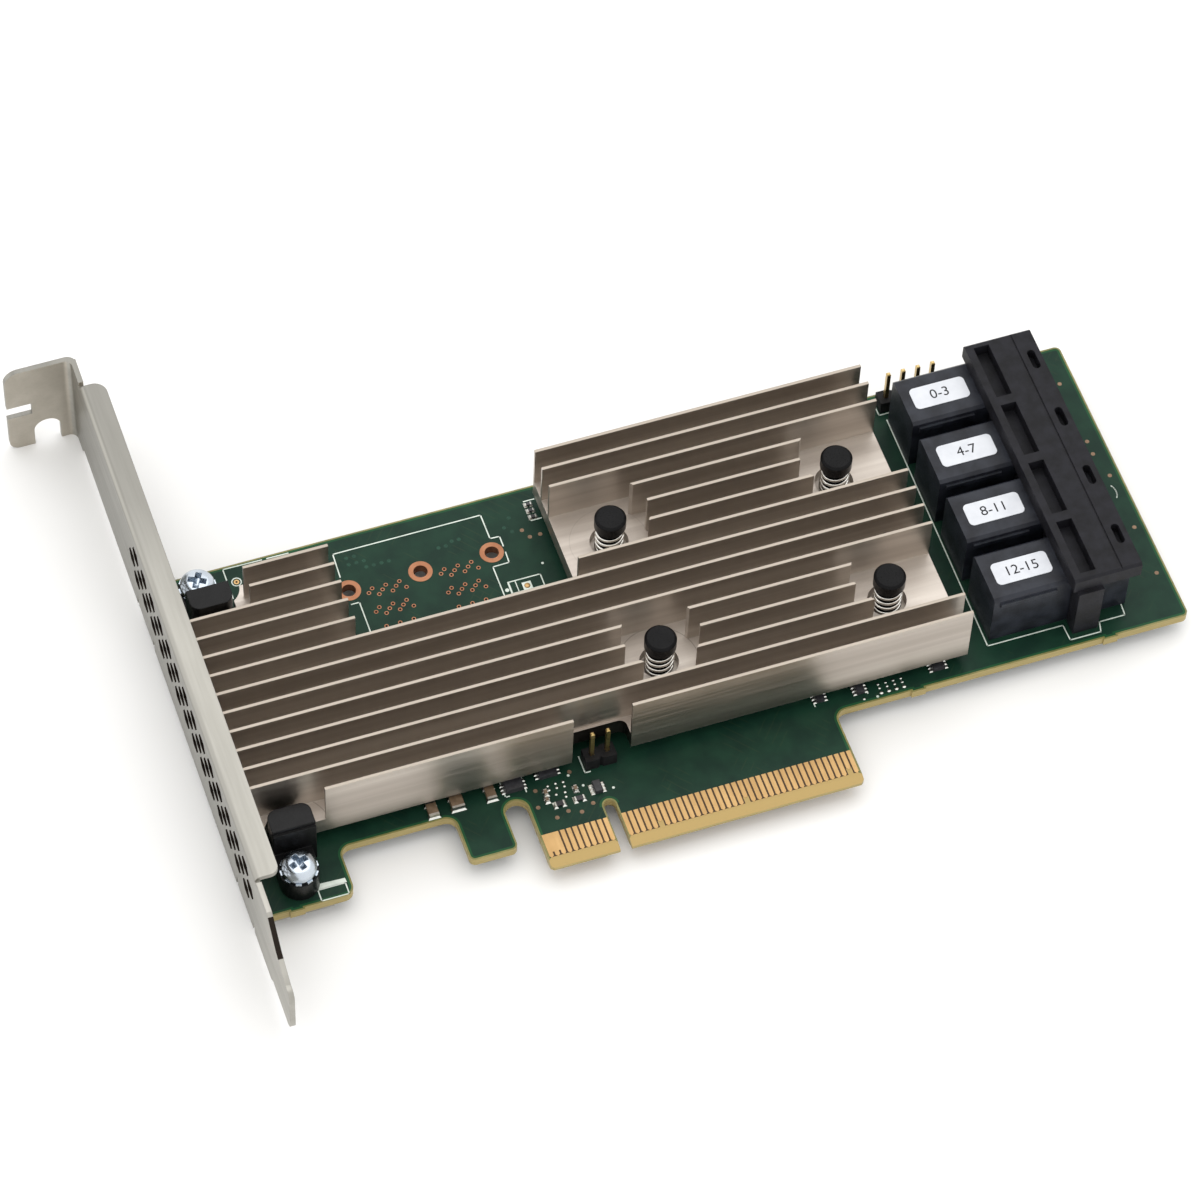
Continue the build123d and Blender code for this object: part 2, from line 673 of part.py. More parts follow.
# Aluminium heat sink: one extrusion with fifteen fins, milled round the push pins, the header,
# the holders and the open board field.
with BuildPart() as heat_sink:
    with BuildSketch(Plane.XY.offset(SINK_BOTTOM)) as base_outline:
        patch((SINK_LEFT, SINK_RIGHT), (SINK_FRONT, WINDOW_Y))
        patch((SINK_LEFT, WINDOW_LEFT), (WINDOW_Y, LEFT_STRIP_BACK))
        patch((LEFT_BLOCK_X, WINDOW_LEFT), (LEFT_STRIP_BACK, LEFT_BLOCK_BACK))
        patch((WINDOW_RIGHT, SINK_RIGHT), (WINDOW_Y, SINK_BACK))
        patch(HEADER_CUT, (SINK_FRONT - 1, HEADER_CUT_BACK), Mode.SUBTRACT)
        for x in HEADER_CUT:
            fillet(corner(base_outline, x, HEADER_CUT_BACK), HEADER_CUT_R)
        for x in (WINDOW_LEFT, WINDOW_RIGHT):
            fillet(corner(base_outline, x, WINDOW_Y), WINDOW_R)
        with Locations((TOWER_X, LOWER_SCREW_Y + TOWER_OFFSET)):
            Circle(HOLDER_CUT_R, mode=Mode.SUBTRACT)
        with Locations(UPPER_CUT):
            Circle(UPPER_CUT_R, mode=Mode.SUBTRACT)
    extrude(amount=BASE_TOP - SINK_BOTTOM)
    with BuildSketch(Plane.XY.offset(BASE_TOP)):
        for row in (0, 1, 2, 3, 4, 5, 6):
            patch((WINDOW_RIGHT, SINK_RIGHT), fin_y(row))
        for row in (2, 3):
            patch((LEFT_BLOCK_FIN_X, WINDOW_LEFT), fin_y(row))
        for row in (4, 5, 6):
            patch((SINK_LEFT, WINDOW_LEFT), fin_y(row))
        for row in (7, 8, 9, 10, 11, 12, 13):
            patch((SINK_LEFT, SINK_RIGHT), fin_y(row))
        patch((FRONT_FIN_X, HEADER_CUT[0]), fin_y(14))
        patch((HEADER_CUT[1], SINK_RIGHT), fin_y(14))
        with Locations(*PIN_POINTS):
            Circle(POCKET_R, mode=Mode.SUBTRACT)
        high_row = (PIN_HIGH_Y - POCKET_R, PIN_HIGH_Y + POCKET_R)
        low_row = (PIN_LOW_Y - POCKET_R, PIN_LOW_Y + POCKET_R)
        patch((WINDOW_RIGHT - 1, PIN_LEFT_X), high_row, Mode.SUBTRACT)
        patch((PIN_RIGHT_X, SINK_RIGHT + 1), high_row, Mode.SUBTRACT)
        patch((PIN_RIGHT_X, SINK_RIGHT + 1), low_row, Mode.SUBTRACT)
    extrude(amount=FIN_TOP - BASE_TOP)
    for point in PIN_POINTS:
        drum(point, RECESS_R, (RECESS_FLOOR, BASE_TOP + 1), Mode.SUBTRACT)
        drum(point, PIN_R + 4 * PIN_FIT, (SINK_BOTTOM - 1, BASE_TOP), Mode.SUBTRACT)
heat_sink.part.label = "heat_sink"
export_step(heat_sink.part, "parts/heat_sink.step")

# Nylon push pins with a split barb under the board, each inside a coil spring.
with BuildPart() as push_pins:
    for point in PIN_POINTS:
        drum(point, PIN_R, (-BOARD_T, CAP_BOTTOM))
        with Locations((point[0], point[1], BARB_TIP)):
            Cone(
                BARB_TIP_R,
                BARB_R,
                -BOARD_T - BARB_TIP,
                align=(Align.CENTER, Align.CENTER, Align.MIN),
            )
        slit = (point[0] - BARB_SLIT / 2, point[0] + BARB_SLIT / 2)
        block(slit, (point[1] - CAP_R, point[1] + CAP_R), (BARB_TIP, -BOARD_T), Mode.SUBTRACT)
        drum(point, CAP_R, (CAP_BOTTOM, CAP_TOP))
    caps = push_pins.edges().filter_by(GeomType.CIRCLE).group_by(Axis.Z)[-1]
    chamfer(caps, CAP_EDGE)
push_pins.part.label = "push_pins"
export_step(push_pins.part, "parts/push_pins.step")

with BuildPart() as push_pin_springs:
    coil_height = CAP_BOTTOM - RECESS_FLOOR - 2 * WIRE_R - SPRING_FIT
    steps = round(SPRING_TURNS * TURN_POINTS)
    coil_points = [
        (
            PIN_LEFT_X + SPRING_R * cos(2 * pi * step / TURN_POINTS),
            PIN_LOW_Y + SPRING_R * sin(2 * pi * step / TURN_POINTS),
            RECESS_FLOOR + WIRE_R + coil_height * step / steps,
        )
        for step in range(steps + 1)
    ]
    with BuildLine() as coil:
        Polyline(*coil_points)
    with BuildSketch(Plane(origin=coil.line @ 0, x_dir=(1, 0, 0), z_dir=coil.line % 0)):
        Rectangle(2 * WIRE_R, 2 * WIRE_R)
    sweep(path=coil.line, transition=Transition.RIGHT)
    first = push_pin_springs.part
    for point in PIN_POINTS[1:]:
        add(first.moved(Location((point[0] - PIN_LEFT_X, point[1] - PIN_LOW_Y, 0))))
push_pin_springs.part.label = "push_pin_springs"
export_step(push_pin_springs.part, "parts/push_pin_springs.step")


def square(point, side, z_range):
    """Square slab centred over a point of the board."""
    half = side / 2
    block((point[0] - half, point[0] + half), (point[1] - half, point[1] + half), z_range)


# Controller package: laminate, metal lid and the pad that carries its heat into the base.
with BuildPart() as controller_substrate:
    square(CHIP, SUBSTRATE, (0, SUBSTRATE_T))
controller_substrate.part.label = "controller_substrate"
export_step(controller_substrate.part, "parts/controller_substrate.step")

with BuildPart() as controller_lid:
    square(CHIP, LID, (SUBSTRATE_T, LID_TOP))
    chamfer(controller_lid.faces().sort_by(Axis.Z)[-1].edges(), LID_EDGE)
controller_lid.part.label = "controller_lid"
export_step(controller_lid.part, "parts/controller_lid.step")

with BuildPart() as thermal_pad:
    square(CHIP, PAD, (LID_TOP, SINK_BOTTOM))
thermal_pad.part.label = "thermal_pad"
export_step(thermal_pad.part, "parts/thermal_pad.step")


def chips(places, size):
    """Equal rectangular bodies standing on the component face."""
    with Locations(*[(x, y, 0) for x, y in places]):
        Box(*size, align=(Align.CENTER, Align.CENTER, Align.MIN))


# Parts hidden below the heat sink.
with BuildPart() as flash_memory:
    chips(FLASH_AT, FLASH)
flash_memory.part.label = "flash_memory"
export_step(flash_memory.part, "parts/flash_memory.step")

with BuildPart() as memory_chips:
    chips(MEMORY_AT, MEMORY)
memory_chips.part.label = "memory_chips"
export_step(memory_chips.part, "parts/memory_chips.step")

with BuildPart() as power_stages:
    chips(STAGE_AT, STAGE)
power_stages.part.label = "power_stages"
export_step(power_stages.part, "parts/power_stages.step")

with BuildPart() as power_inductors:
    chips(INDUCTOR_AT, INDUCTOR)
    chamfer(power_inductors.edges().filter_by(Axis.Z), INDUCTOR_EDGE)
power_inductors.part.label = "power_inductors"
export_step(power_inductors.part, "parts/power_inductors.step")

with BuildPart() as bulk_capacitors:
    chips(BULK_AT, BULK)
bulk_capacitors.part.label = "bulk_capacitors"
export_step(bulk_capacitors.part, "parts/bulk_capacitors.step")

with BuildPart() as clock_crystal:
    chips(CRYSTAL_AT, CRYSTAL)
clock_crystal.part.label = "clock_crystal"
export_step(clock_crystal.part, "parts/clock_crystal.step")


def housing(y):
    """Receptacle housing: bevelled block with side ribs and an open mouth towards +X."""
    half = HOUSING_W / 2
    with BuildSketch(Plane.YZ.offset(HOUSING_LEFT)) as section:
        patch((y - half, y + half), (0, HOUSING_TOP))
        for side in (-1, 1):
            chamfer(corner(section, y + side * half, HOUSING_TOP), HOUSING_BEVEL)
    extrude(section.sketch, amount=HOUSING_RIGHT - HOUSING_LEFT)
    block(RIB_X, (y - half - RIB_OUT, y + half + RIB_OUT), RIB_Z)
    block(
        (MOUTH_BACK, HOUSING_RIGHT + 1),
        (y - MOUTH_W / 2, y + MOUTH_W / 2),
        MOUTH_Z,
        Mode.SUBTRACT,
    )


# Four receptacle housings side by side, port 1 next to the upper edge.
with BuildPart() as receptacle_housing_1:
    housing(PORT_YS[0])
receptacle_housing_1.part.label = "receptacle_housing_1"
export_step(receptacle_housing_1.part, "parts/receptacle_housing_1.step")

with BuildPart() as receptacle_housing_2:
    housing(PORT_YS[1])
receptacle_housing_2.part.label = "receptacle_housing_2"
export_step(receptacle_housing_2.part, "parts/receptacle_housing_2.step")

with BuildPart() as receptacle_housing_3:
    housing(PORT_YS[2])
receptacle_housing_3.part.label = "receptacle_housing_3"
export_step(receptacle_housing_3.part, "parts/receptacle_housing_3.step")

with BuildPart() as receptacle_housing_4:
    housing(PORT_YS[3])
receptacle_housing_4.part.label = "receptacle_housing_4"
export_step(receptacle_housing_4.part, "parts/receptacle_housing_4.step")

# Slotted inserts in the mouths and the contact blades on their slot floors.
with BuildPart() as contact_inserts:
    for y in PORT_YS:
        block((MOUTH_BACK, INSERT_FRONT), (y - INSERT_W / 2, y + INSERT_W / 2), INSERT_Z)
        for floor in SLOT_FLOORS:
            block(
                (SLOT_BACK, INSERT_FRONT + 1),
                (y - SLOT_W / 2, y + SLOT_W / 2),
                (floor, floor + SLOT_T),
                Mode.SUBTRACT,
            )
contact_inserts.part.label = "contact_inserts"
export_step(contact_inserts.part, "parts/contact_inserts.step")

with BuildPart() as receptacle_contacts:
    blade_points = [
        ((SLOT_BACK + INSERT_FRONT) / 2, y + (index - (BLADES - 1) / 2) * BLADE_PITCH, floor)
        for y in PORT_YS
        for floor in SLOT_FLOORS
        for index in range(BLADES)
    ]
    with Locations(*blade_points):
        Box(
            INSERT_FRONT - SLOT_BACK - 2 * BLADE_END,
            BLADE_W,
            BLADE_T,
            align=(Align.CENTER, Align.CENTER, Align.MIN),
        )
receptacle_contacts.part.label = "receptacle_contacts"
export_step(receptacle_contacts.part, "parts/receptacle_contacts.step")

# Moulded frame that gangs the housings: a bar on top of them, combs between them and two legs.
with BuildPart() as receptacle_frame:
    block((FRAME_LEFT, FRAME_RIGHT), (FRAME_FRONT, FRAME_BACK), (HOUSING_TOP, FRAME_TOP))
    chamfer(receptacle_frame.faces().sort_by(Axis.Z)[-1].edges().filter_by(Axis.X), FRAME_EDGE)
    half_gap = (PORT_PITCH - HOUSING_W) / 2 - COMB_FIT
    for index in range(PORTS - 1):
        y = (PORT_YS[index] + PORT_YS[index + 1]) / 2
        block((COMB_LEFT, COMB_RIGHT), (y - half_gap, y + half_gap), (0, HOUSING_TOP))
    front_inner = PORT_YS[-1] - HOUSING_W / 2 - COMB_FIT
    back_inner = PORT_YS[0] + HOUSING_W / 2 + COMB_FIT
    block((COMB_LEFT, LEG_RIGHT), (LEG_FRONT, front_inner), (0, LEG_TOP))
    block((COMB_LEFT, LEG_RIGHT), (FRAME_FRONT, front_inner), (LEG_TOP, HOUSING_TOP))
    block((COMB_LEFT, COMB_RIGHT), (back_inner, FRAME_BACK), (0, HOUSING_TOP))
    for y in PORT_YS:
        block(
            POCKET_X,
            (y + POCKET_BACK - POCKET_LEN, y + POCKET_BACK),
            (FRAME_TOP - POCKET_DEPTH, FRAME_TOP + 1),
            Mode.SUBTRACT,
        )
    with BuildSketch(Plane.XY.offset(HOUSING_TOP + 1)):
        for y in PORT_YS:
            with Locations((OVAL_X, y - OVAL_SHIFT)):
                SlotOverall(OVAL_LEN, OVAL_W, rotation=90)
    extrude(amount=FRAME_TOP - HOUSING_TOP, mode=Mode.SUBTRACT)
    block(
        (SEAM_X - SEAM_W / 2, SEAM_X + SEAM_W / 2),
        (FRAME_FRONT - 1, FRAME_BACK + 1),
        (FRAME_TOP - SEAM_DEPTH, FRAME_TOP + 1),
        Mode.SUBTRACT,
    )
receptacle_frame.part.label = "receptacle_frame"
export_step(receptacle_frame.part, "parts/receptacle_frame.step")

# Paper labels on the housings.
with BuildPart() as port_labels:
    with BuildSketch(Plane.XY.offset(HOUSING_TOP)):
        with Locations(*[((LABEL_X[0] + LABEL_X[1]) / 2, y) for y in PORT_YS]):
            RectangleRounded(LABEL_X[1] - LABEL_X[0], LABEL_W, LABEL_R)
    extrude(amount=LABEL_T)
port_labels.part.label = "port_labels"
export_step(port_labels.part, "parts/port_labels.step")


def header_body(posts):
    """Row of insulator cells, one round each post, with notched joints between them."""
    half = HEADER_PITCH / 2
    y = posts[0][1]
    block((posts[0][0] - half, posts[-1][0] + half), (y - half, y + half), (0, HEADER_T))
    for x, _ in posts[:-1]:
        for side in (-1, 1):
            with Locations(Location((x + half, y + side * half, HEADER_T / 2), (0, 0, 45))):
                Box(HEADER_NOTCH, HEADER_NOTCH, HEADER_T, mode=Mode.SUBTRACT)
    with Locations(*[(x, y, HEADER_T / 2) for x, y in posts]):
        Box(POST, POST, 2 * HEADER_T, mode=Mode.SUBTRACT)


def header_posts(posts, top):
    """Square posts with chamfered ends, pressed through the body and the board."""
    with Locations(*[(x, y, POST_TIP) for x, y in posts]):
        Box(POST, POST, top - POST_TIP, align=(Align.CENTER, Align.CENTER, Align.MIN))


# Straight pin headers at the upper edge and in the front cut-out of the heat sink.
with BuildPart() as four_pin_header_body:
    header_body(FOUR_POSTS)
four_pin_header_body.part.label = "four_pin_header_body"
export_step(four_pin_header_body.part, "parts/four_pin_header_body.step")

with BuildPart() as four_pin_header_pins:
    header_posts(FOUR_POSTS, FOUR_PIN_TOP)
    chamfer(four_pin_header_pins.faces().filter_by(Axis.Z).edges(), POST_POINT)
four_pin_header_pins.part.label = "four_pin_header_pins"
export_step(four_pin_header_pins.part, "parts/four_pin_header_pins.step")

with BuildPart() as two_pin_header_body:
    header_body(TWO_POSTS)
two_pin_header_body.part.label = "two_pin_header_body"
export_step(two_pin_header_body.part, "parts/two_pin_header_body.step")

with BuildPart() as two_pin_header_pins:
    header_posts(TWO_POSTS, TWO_PIN_TOP)
    chamfer(two_pin_header_pins.faces().filter_by(Axis.Z).edges(), POST_POINT)
two_pin_header_pins.part.label = "two_pin_header_pins"
export_step(two_pin_header_pins.part, "parts/two_pin_header_pins.step")


def chip_middle(x, y, width, depth, height):
    """Ceramic body of a chip part between its two metal ends."""
    if width > depth:
        width -= 2 * CHIP_END * width / 2
    else:
        depth -= 2 * CHIP_END * depth / 2
    with Locations((x, y, 0)):
        Box(width, depth, height, align=(Align.CENTER, Align.CENTER, Align.MIN))


def chip_ends(x, y, width, depth, height):
    """Metal ends of a chip part."""
    along_x = width > depth
    length = CHIP_END * max(width, depth) / 2
    offset = (max(width, depth) - length) / 2
    size = (length, depth) if along_x else (width, length)
    for side in (-1, 1):
        shift = (side * offset, 0) if along_x else (0, side * offset)
        with Locations((x + shift[0], y + shift[1], 0)):
            Box(*size, height, align=(Align.CENTER, Align.CENTER, Align.MIN))


# Small surface-mounted parts that show in front of the heat sink and beside it.
with BuildPart() as ceramic_capacitors:
    for chip in CAPACITORS:
        chip_middle(*chip)
ceramic_capacitors.part.label = "ceramic_capacitors"
export_step(ceramic_capacitors.part, "parts/ceramic_capacitors.step")

with BuildPart() as chip_resistors:
    for chip in RESISTORS:
        chip_middle(*chip)
chip_resistors.part.label = "chip_resistors"
export_step(chip_resistors.part, "parts/chip_resistors.step")

with BuildPart() as chip_terminals:
    for chip in CAPACITORS + RESISTORS:
        chip_ends(*chip)
chip_terminals.part.label = "chip_terminals"
export_step(chip_terminals.part, "parts/chip_terminals.step")

with BuildPart() as small_packages:
    for x, y, width, depth, height in PACKAGES:
        with Locations((x, y, 0)):
            Box(width, depth, height, align=(Align.CENTER, Align.CENTER, Align.MIN))
    chamfer(small_packages.faces().filter_by(Axis.Z).edges().filter_by(Axis.Y), PACKAGE_EDGE)
small_packages.part.label = "small_packages"
export_step(small_packages.part, "parts/small_packages.step")

with BuildPart() as package_leads:
    for x, y, width, depth, _ in PACKAGES:
        for side in (-1, 1):
            for row in (-1, 0, 1):
                lead_x = x + side * (width + LEAD_OUT) / 2
                with Locations((lead_x, y + row * LEAD_PITCH, 0)):
                    Box(LEAD_OUT, LEAD_W, LEAD_T, align=(Align.CENTER, Align.CENTER, Align.MIN))
package_leads.part.label = "package_leads"
export_step(package_leads.part, "parts/package_leads.step")

# Decoupling capacitors on the solder side under the controller.
with BuildPart() as underside_capacitors:
    with Locations((CHIP[0], CHIP[1], -BOARD_T)):
        with GridLocations(*UNDER_PITCH, *UNDER_COUNT):
            Box(*UNDER_CHIP, align=(Align.CENTER, Align.CENTER, Align.MAX))
underside_capacitors.part.label = "underside_capacitors"
export_step(underside_capacitors.part, "parts/underside_capacitors.step")
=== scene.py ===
import bpy
import numpy as np
from mathutils import Matrix


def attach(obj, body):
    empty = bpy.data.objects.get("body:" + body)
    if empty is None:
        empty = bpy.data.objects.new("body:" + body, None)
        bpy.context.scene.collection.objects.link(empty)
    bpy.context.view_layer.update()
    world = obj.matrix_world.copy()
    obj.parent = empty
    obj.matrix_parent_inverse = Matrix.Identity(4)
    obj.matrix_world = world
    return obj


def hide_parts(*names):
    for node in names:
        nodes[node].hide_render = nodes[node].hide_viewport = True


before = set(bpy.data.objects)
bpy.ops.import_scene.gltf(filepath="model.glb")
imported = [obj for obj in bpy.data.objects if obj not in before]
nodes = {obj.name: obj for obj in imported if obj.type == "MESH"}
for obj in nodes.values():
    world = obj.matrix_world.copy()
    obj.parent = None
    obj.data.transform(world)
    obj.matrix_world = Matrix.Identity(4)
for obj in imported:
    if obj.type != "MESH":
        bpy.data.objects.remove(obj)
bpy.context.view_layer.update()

# Circuit board: glass-epoxy laminate, green solder mask on both faces, routed to its outline.
# The mask stops a quarter of a millimetre short of every routed edge, so a pale olive line of
# bare laminate runs all round, and the cut edge itself shows straw-coloured glass layers.
MM = 0.001
METRES_TO_MM = [1000] * 3
BOARD_T = 1.57
# Field of the contact fingers in millimetres. Three are short, with bare straw glass below them.
FINGER_MID_X = 13.5
FINGER_SPAN = 51.6
FINGER_TOP = 5.95
FINGER_TIP = 1.76
SHORT_TIP = 2.95
SHORT_X = (6.5, 20.5, 37.5)
SHORT_HALF = 0.42
STRAW = "#ae9560"
TRACK_TURN = 0.72


def linear(code):
    """Scene-linear colour of an sRGB hex code, by the sRGB curve on each channel."""
    channel = np.array([int(code[start : start + 2], 16) for start in (1, 3, 5)]) / 255
    value = np.where(channel <= 0.04045, channel / 12.92, ((channel + 0.055) / 1.055) ** 2.4)
    return (*value.tolist(), 1.0)


def add(tree, kind, inputs, **settings):
    """One shader node with its settings; an input is a constant or another node's output."""
    node = tree.nodes.new("ShaderNode" + kind)
    for name, value in settings.items():
        setattr(node, name, value)
    for key, value in inputs.items():
        if isinstance(value, bpy.types.NodeSocket):
            tree.links.new(value, node.inputs[key])
        else:
            node.inputs[key].default_value = value
    return node


def layered(name, first, second, rough, grain, relief, stretch=(1, 1, 1), edge=0.0, **shader):
    """Material of two cloudy tones whose fine grain moves the roughness and the relief.
    Grain and relief are millimetres; a stretch below 1 draws the grain out along that axis."""
    material = bpy.data.materials.new(name)
    material.use_nodes = True
    tree = material.node_tree
    tree.nodes.clear()
    place = add(tree, "TexCoord", {}).outputs["Object"]
    place = add(
        tree, "Mapping", {"Vector": place, "Scale": [1000 * part for part in stretch]}
    ).outputs[0]
    cloud = add(tree, "TexNoise", {"Vector": place, "Scale": 0.12 / grain, "Detail": 3.0})
    fine = add(
        tree, "TexNoise", {"Vector": place, "Scale": 1 / grain, "Detail": 4.0, "Roughness": 0.6}
    )
    share = add(tree, "MapRange", {0: cloud.outputs[0], 1: 0.35, 2: 0.65})
    tone = add(
        tree,
        "Mix",
        {0: share.outputs[0], 6: linear(first), 7: linear(second)},
        data_type="RGBA",
    )
    wander = add(
        tree, "MapRange", {0: fine.outputs[0], 1: 0.3, 2: 0.7, 3: rough - 0.07, 4: rough + 0.07}
    )
    bump = add(
        tree, "Bump", {"Height": fine.outputs[0], "Distance": relief * MM, "Strength": 1.0}
    )
    if edge:
        rounded = add(tree, "Bevel", {"Radius": edge * MM}, samples=4)
        tree.links.new(rounded.outputs[0], bump.inputs["Normal"])
    values = {key.replace("_", " "): value for key, value in shader.items()}
    principled = add(
        tree,
        "BsdfPrincipled",
        {
            "Base Color": tone.outputs[2],
            "Roughness": wander.outputs[0],
            "Normal": bump.outputs[0],
            **values,
        },
        name="surface",
    )
    out = add(tree, "OutputMaterial", {})
    tree.links.new(principled.outputs[0], out.inputs[0])
    return material


def dress(material, *names):
    """Puts a material on every slot of the named nodes."""
    for name in names:
        for slot in nodes[name].material_slots:
            slot.material = material


def blend_in(material, share, colour):
    """Lays a second colour over a material's own where the share is 1."""
    tree = material.node_tree
    shader = tree.nodes["surface"]
    under = shader.inputs["Base Color"].links[0].from_socket
    mixed = add(tree, "Mix", {0: share, 6: under, 7: colour}, data_type="RGBA")
    tree.links.new(mixed.outputs[2], shader.inputs["Base Color"])


# Solder mask: a satin green lacquer, screen-coated and cured, lighter over copper planes and darker
# between them. Faint tracks run across it, drawn 1.3 mm apart, as real ones are too fine to show.
# Its grain is drawn half a millimetre wide for the same reason.
solder_mask = layered(
    "solder_mask_green", "#112c22", "#173628", 0.38, 0.5, 0.0015, Specular_IOR_Level=0.15
)
mask_tree = solder_mask.node_tree
position = add(mask_tree, "TexCoord", {}).outputs["Object"]
millimetres = add(mask_tree, "Mapping", {"Vector": position, "Scale": METRES_TO_MM}).outputs[0]
axes = add(mask_tree, "SeparateXYZ", {0: millimetres}).outputs
facing = add(mask_tree, "NewGeometry", {}).outputs["Normal"]
facing_z = add(mask_tree, "SeparateXYZ", {0: facing}).outputs[2]
for turn in (TRACK_TURN, -TRACK_TURN):
    turned_place = add(
        mask_tree, "Mapping", {"Vector": millimetres, "Rotation": (0, 0, turn)}
    ).outputs[0]
    track = add(
        mask_tree,
        "TexWave",
        {"Vector": turned_place, "Scale": 0.24, "Distortion": 0.6, "Detail": 1.0},
    ).outputs[1]
    field = add(mask_tree, "TexNoise", {"Vector": turned_place, "Scale": 0.11}).outputs[0]
    line = add(mask_tree, "MapRange", {0: track, 1: 0.92, 2: 0.97, 4: 0.2}).outputs[0]
    here = add(mask_tree, "MapRange", {0: field, 1: 0.58, 2: 0.61, 4: line}).outputs[0]
    blend_in(solder_mask, here, linear("#34402a"))
across = add(
    mask_tree, "Math", {0: axes[0], 1: FINGER_MID_X, 2: FINGER_SPAN / 2}, operation="COMPARE"
).outputs[0]
for reach, colour in ((FINGER_TOP, "#4a3a2a"), (FINGER_TIP, STRAW)):
    lower = add(mask_tree, "Math", {0: axes[1], 1: reach}, operation="LESS_THAN").outputs[0]
    both = add(mask_tree, "Math", {0: across, 1: lower}, operation="MULTIPLY").outputs[0]
    blend_in(solder_mask, both, linear(colour))
lower = add(mask_tree, "Math", {0: axes[1], 1: SHORT_TIP}, operation="LESS_THAN").outputs[0]
for x in SHORT_X:
    beside = add(
        mask_tree, "Math", {0: axes[0], 1: x, 2: SHORT_HALF}, operation="COMPARE"
    ).outputs[0]
    both = add(mask_tree, "Math", {0: beside, 1: lower}, operation="MULTIPLY").outputs[0]
    blend_in(solder_mask, both, linear(STRAW))
# Routed edge: straw-yellow glass layers a fifth of a millimetre thick.
layers = add(mask_tree, "Mapping", {"Vector": millimetres, "Scale": (0.15, 0.15, 5)}).outputs[0]
glass = add(mask_tree, "TexNoise", {"Vector": layers, "Scale": 1.0, "Detail": 2.0}).outputs[0]
straw = add(
    mask_tree,
    "Mix",
    {0: glass, 6: linear("#8a7c4e"), 7: linear("#b3a26e")},
    data_type="RGBA",
).outputs[2]
routed = add(mask_tree, "Math", {0: facing_z, 1: 0.0, 2: 0.5}, operation="COMPARE").outputs[0]
blend_in(solder_mask, routed, straw)
dress(solder_mask, "circuit_board")


def piece(name, points, faces, material, slot, smooth=None, replaced=()):
    """Mesh of a new piece, given in millimetres, that rides on the card."""
    mesh = bpy.data.meshes.new(name)
    mesh.from_pydata((np.asarray(points) * MM).tolist(), [], faces)
    if smooth is not None:
        mesh.shade_smooth()
        mesh.set_sharp_from_angle(angle=np.radians(smooth))
    mesh.materials.append(material)
    made = bpy.data.objects.new(name, mesh)
    bpy.context.scene.collection.objects.link(made)
    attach(made, "root")
    if replaced:
        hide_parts(*replaced)
    return made


def edge_ribbon(node, level, upward, width, lifts):
    """Ribbon along every free edge of a flat face: each edge moved inwards by the width, with
    its ends on the mitre of the two edges that meet there. The lifts are the heights of its
    outer and inner side over the face, and looked at from behind, inwards is outwards."""
    mesh = node.data
    mesh.calc_loop_triangles()
    place = np.empty(len(mesh.vertices) * 3)
    mesh.vertices.foreach_get("co", place)
    corners = np.empty(len(mesh.loop_triangles) * 3, int)
    mesh.loop_triangles.foreach_get("vertices", corners)
    points, index = np.unique(np.round(place.reshape(-1, 3) / MM, 4), axis=0, return_inverse=True)
    triangles = index.reshape(-1)[corners].reshape(-1, 3)
    triangles = triangles[np.all(np.abs(points[triangles, 2] - level) < 1e-3, axis=1)]
    edges = np.concatenate([triangles[:, [0, 1]], triangles[:, [1, 2]], triangles[:, [2, 0]]])
    _, first, count = np.unique(
        np.sort(edges, axis=1), axis=0, return_index=True, return_counts=True
    )
    edges = edges[first[count == 1]]
    along = points[edges[:, 1], :2] - points[edges[:, 0], :2]
    along /= np.linalg.norm(along, axis=1)[:, None]
    inward = upward * np.stack([-along[:, 1], along[:, 0]], axis=1)
    total = np.zeros((len(points), 2))
    np.add.at(total, edges[:, 0], inward)
    np.add.at(total, edges[:, 1], inward)
    used = np.unique(edges)
    square = np.maximum((total[used] ** 2).sum(axis=1), 0.4)
    inner = points.copy()
    inner[used, :2] += 2 * width * total[used] / square[:, None]
    points[:, 2] = level + upward * lifts[0]
    inner[:, 2] = level + upward * lifts[1]
    both = np.concatenate([points, inner])
    faces = np.concatenate([edges, edges[:, ::-1] + len(points)], axis=1)
    kept, faces = np.unique(faces, return_inverse=True)
    return both[kept], faces.reshape(-1, 4)


# Mask margin: no copper plane reaches the routed edge, so the same lacquer lies on bare laminate
# there and looks a brighter green. It is a flat ribbon on the component face.
MARGIN_W = 0.65
MARGIN_LIFTS = (0.003, 0.003)
mask_margin = layered(
    "mask_over_laminate", "#1a4529", "#205031", 0.38, 0.5, 0.0015, Specular_IOR_Level=0.15
)
points, faces = edge_ribbon(nodes["circuit_board"], 0.0, 1, MARGIN_W, MARGIN_LIFTS)
middle = points[faces].mean(axis=1)
off_fingers = np.abs(middle[:, 0] - FINGER_MID_X) > FINGER_SPAN / 2
on_mask = (middle[:, 1] > FINGER_TOP) | off_fingers
piece("mask_margin", points, faces[on_mask].tolist(), mask_margin, "board_laminate")

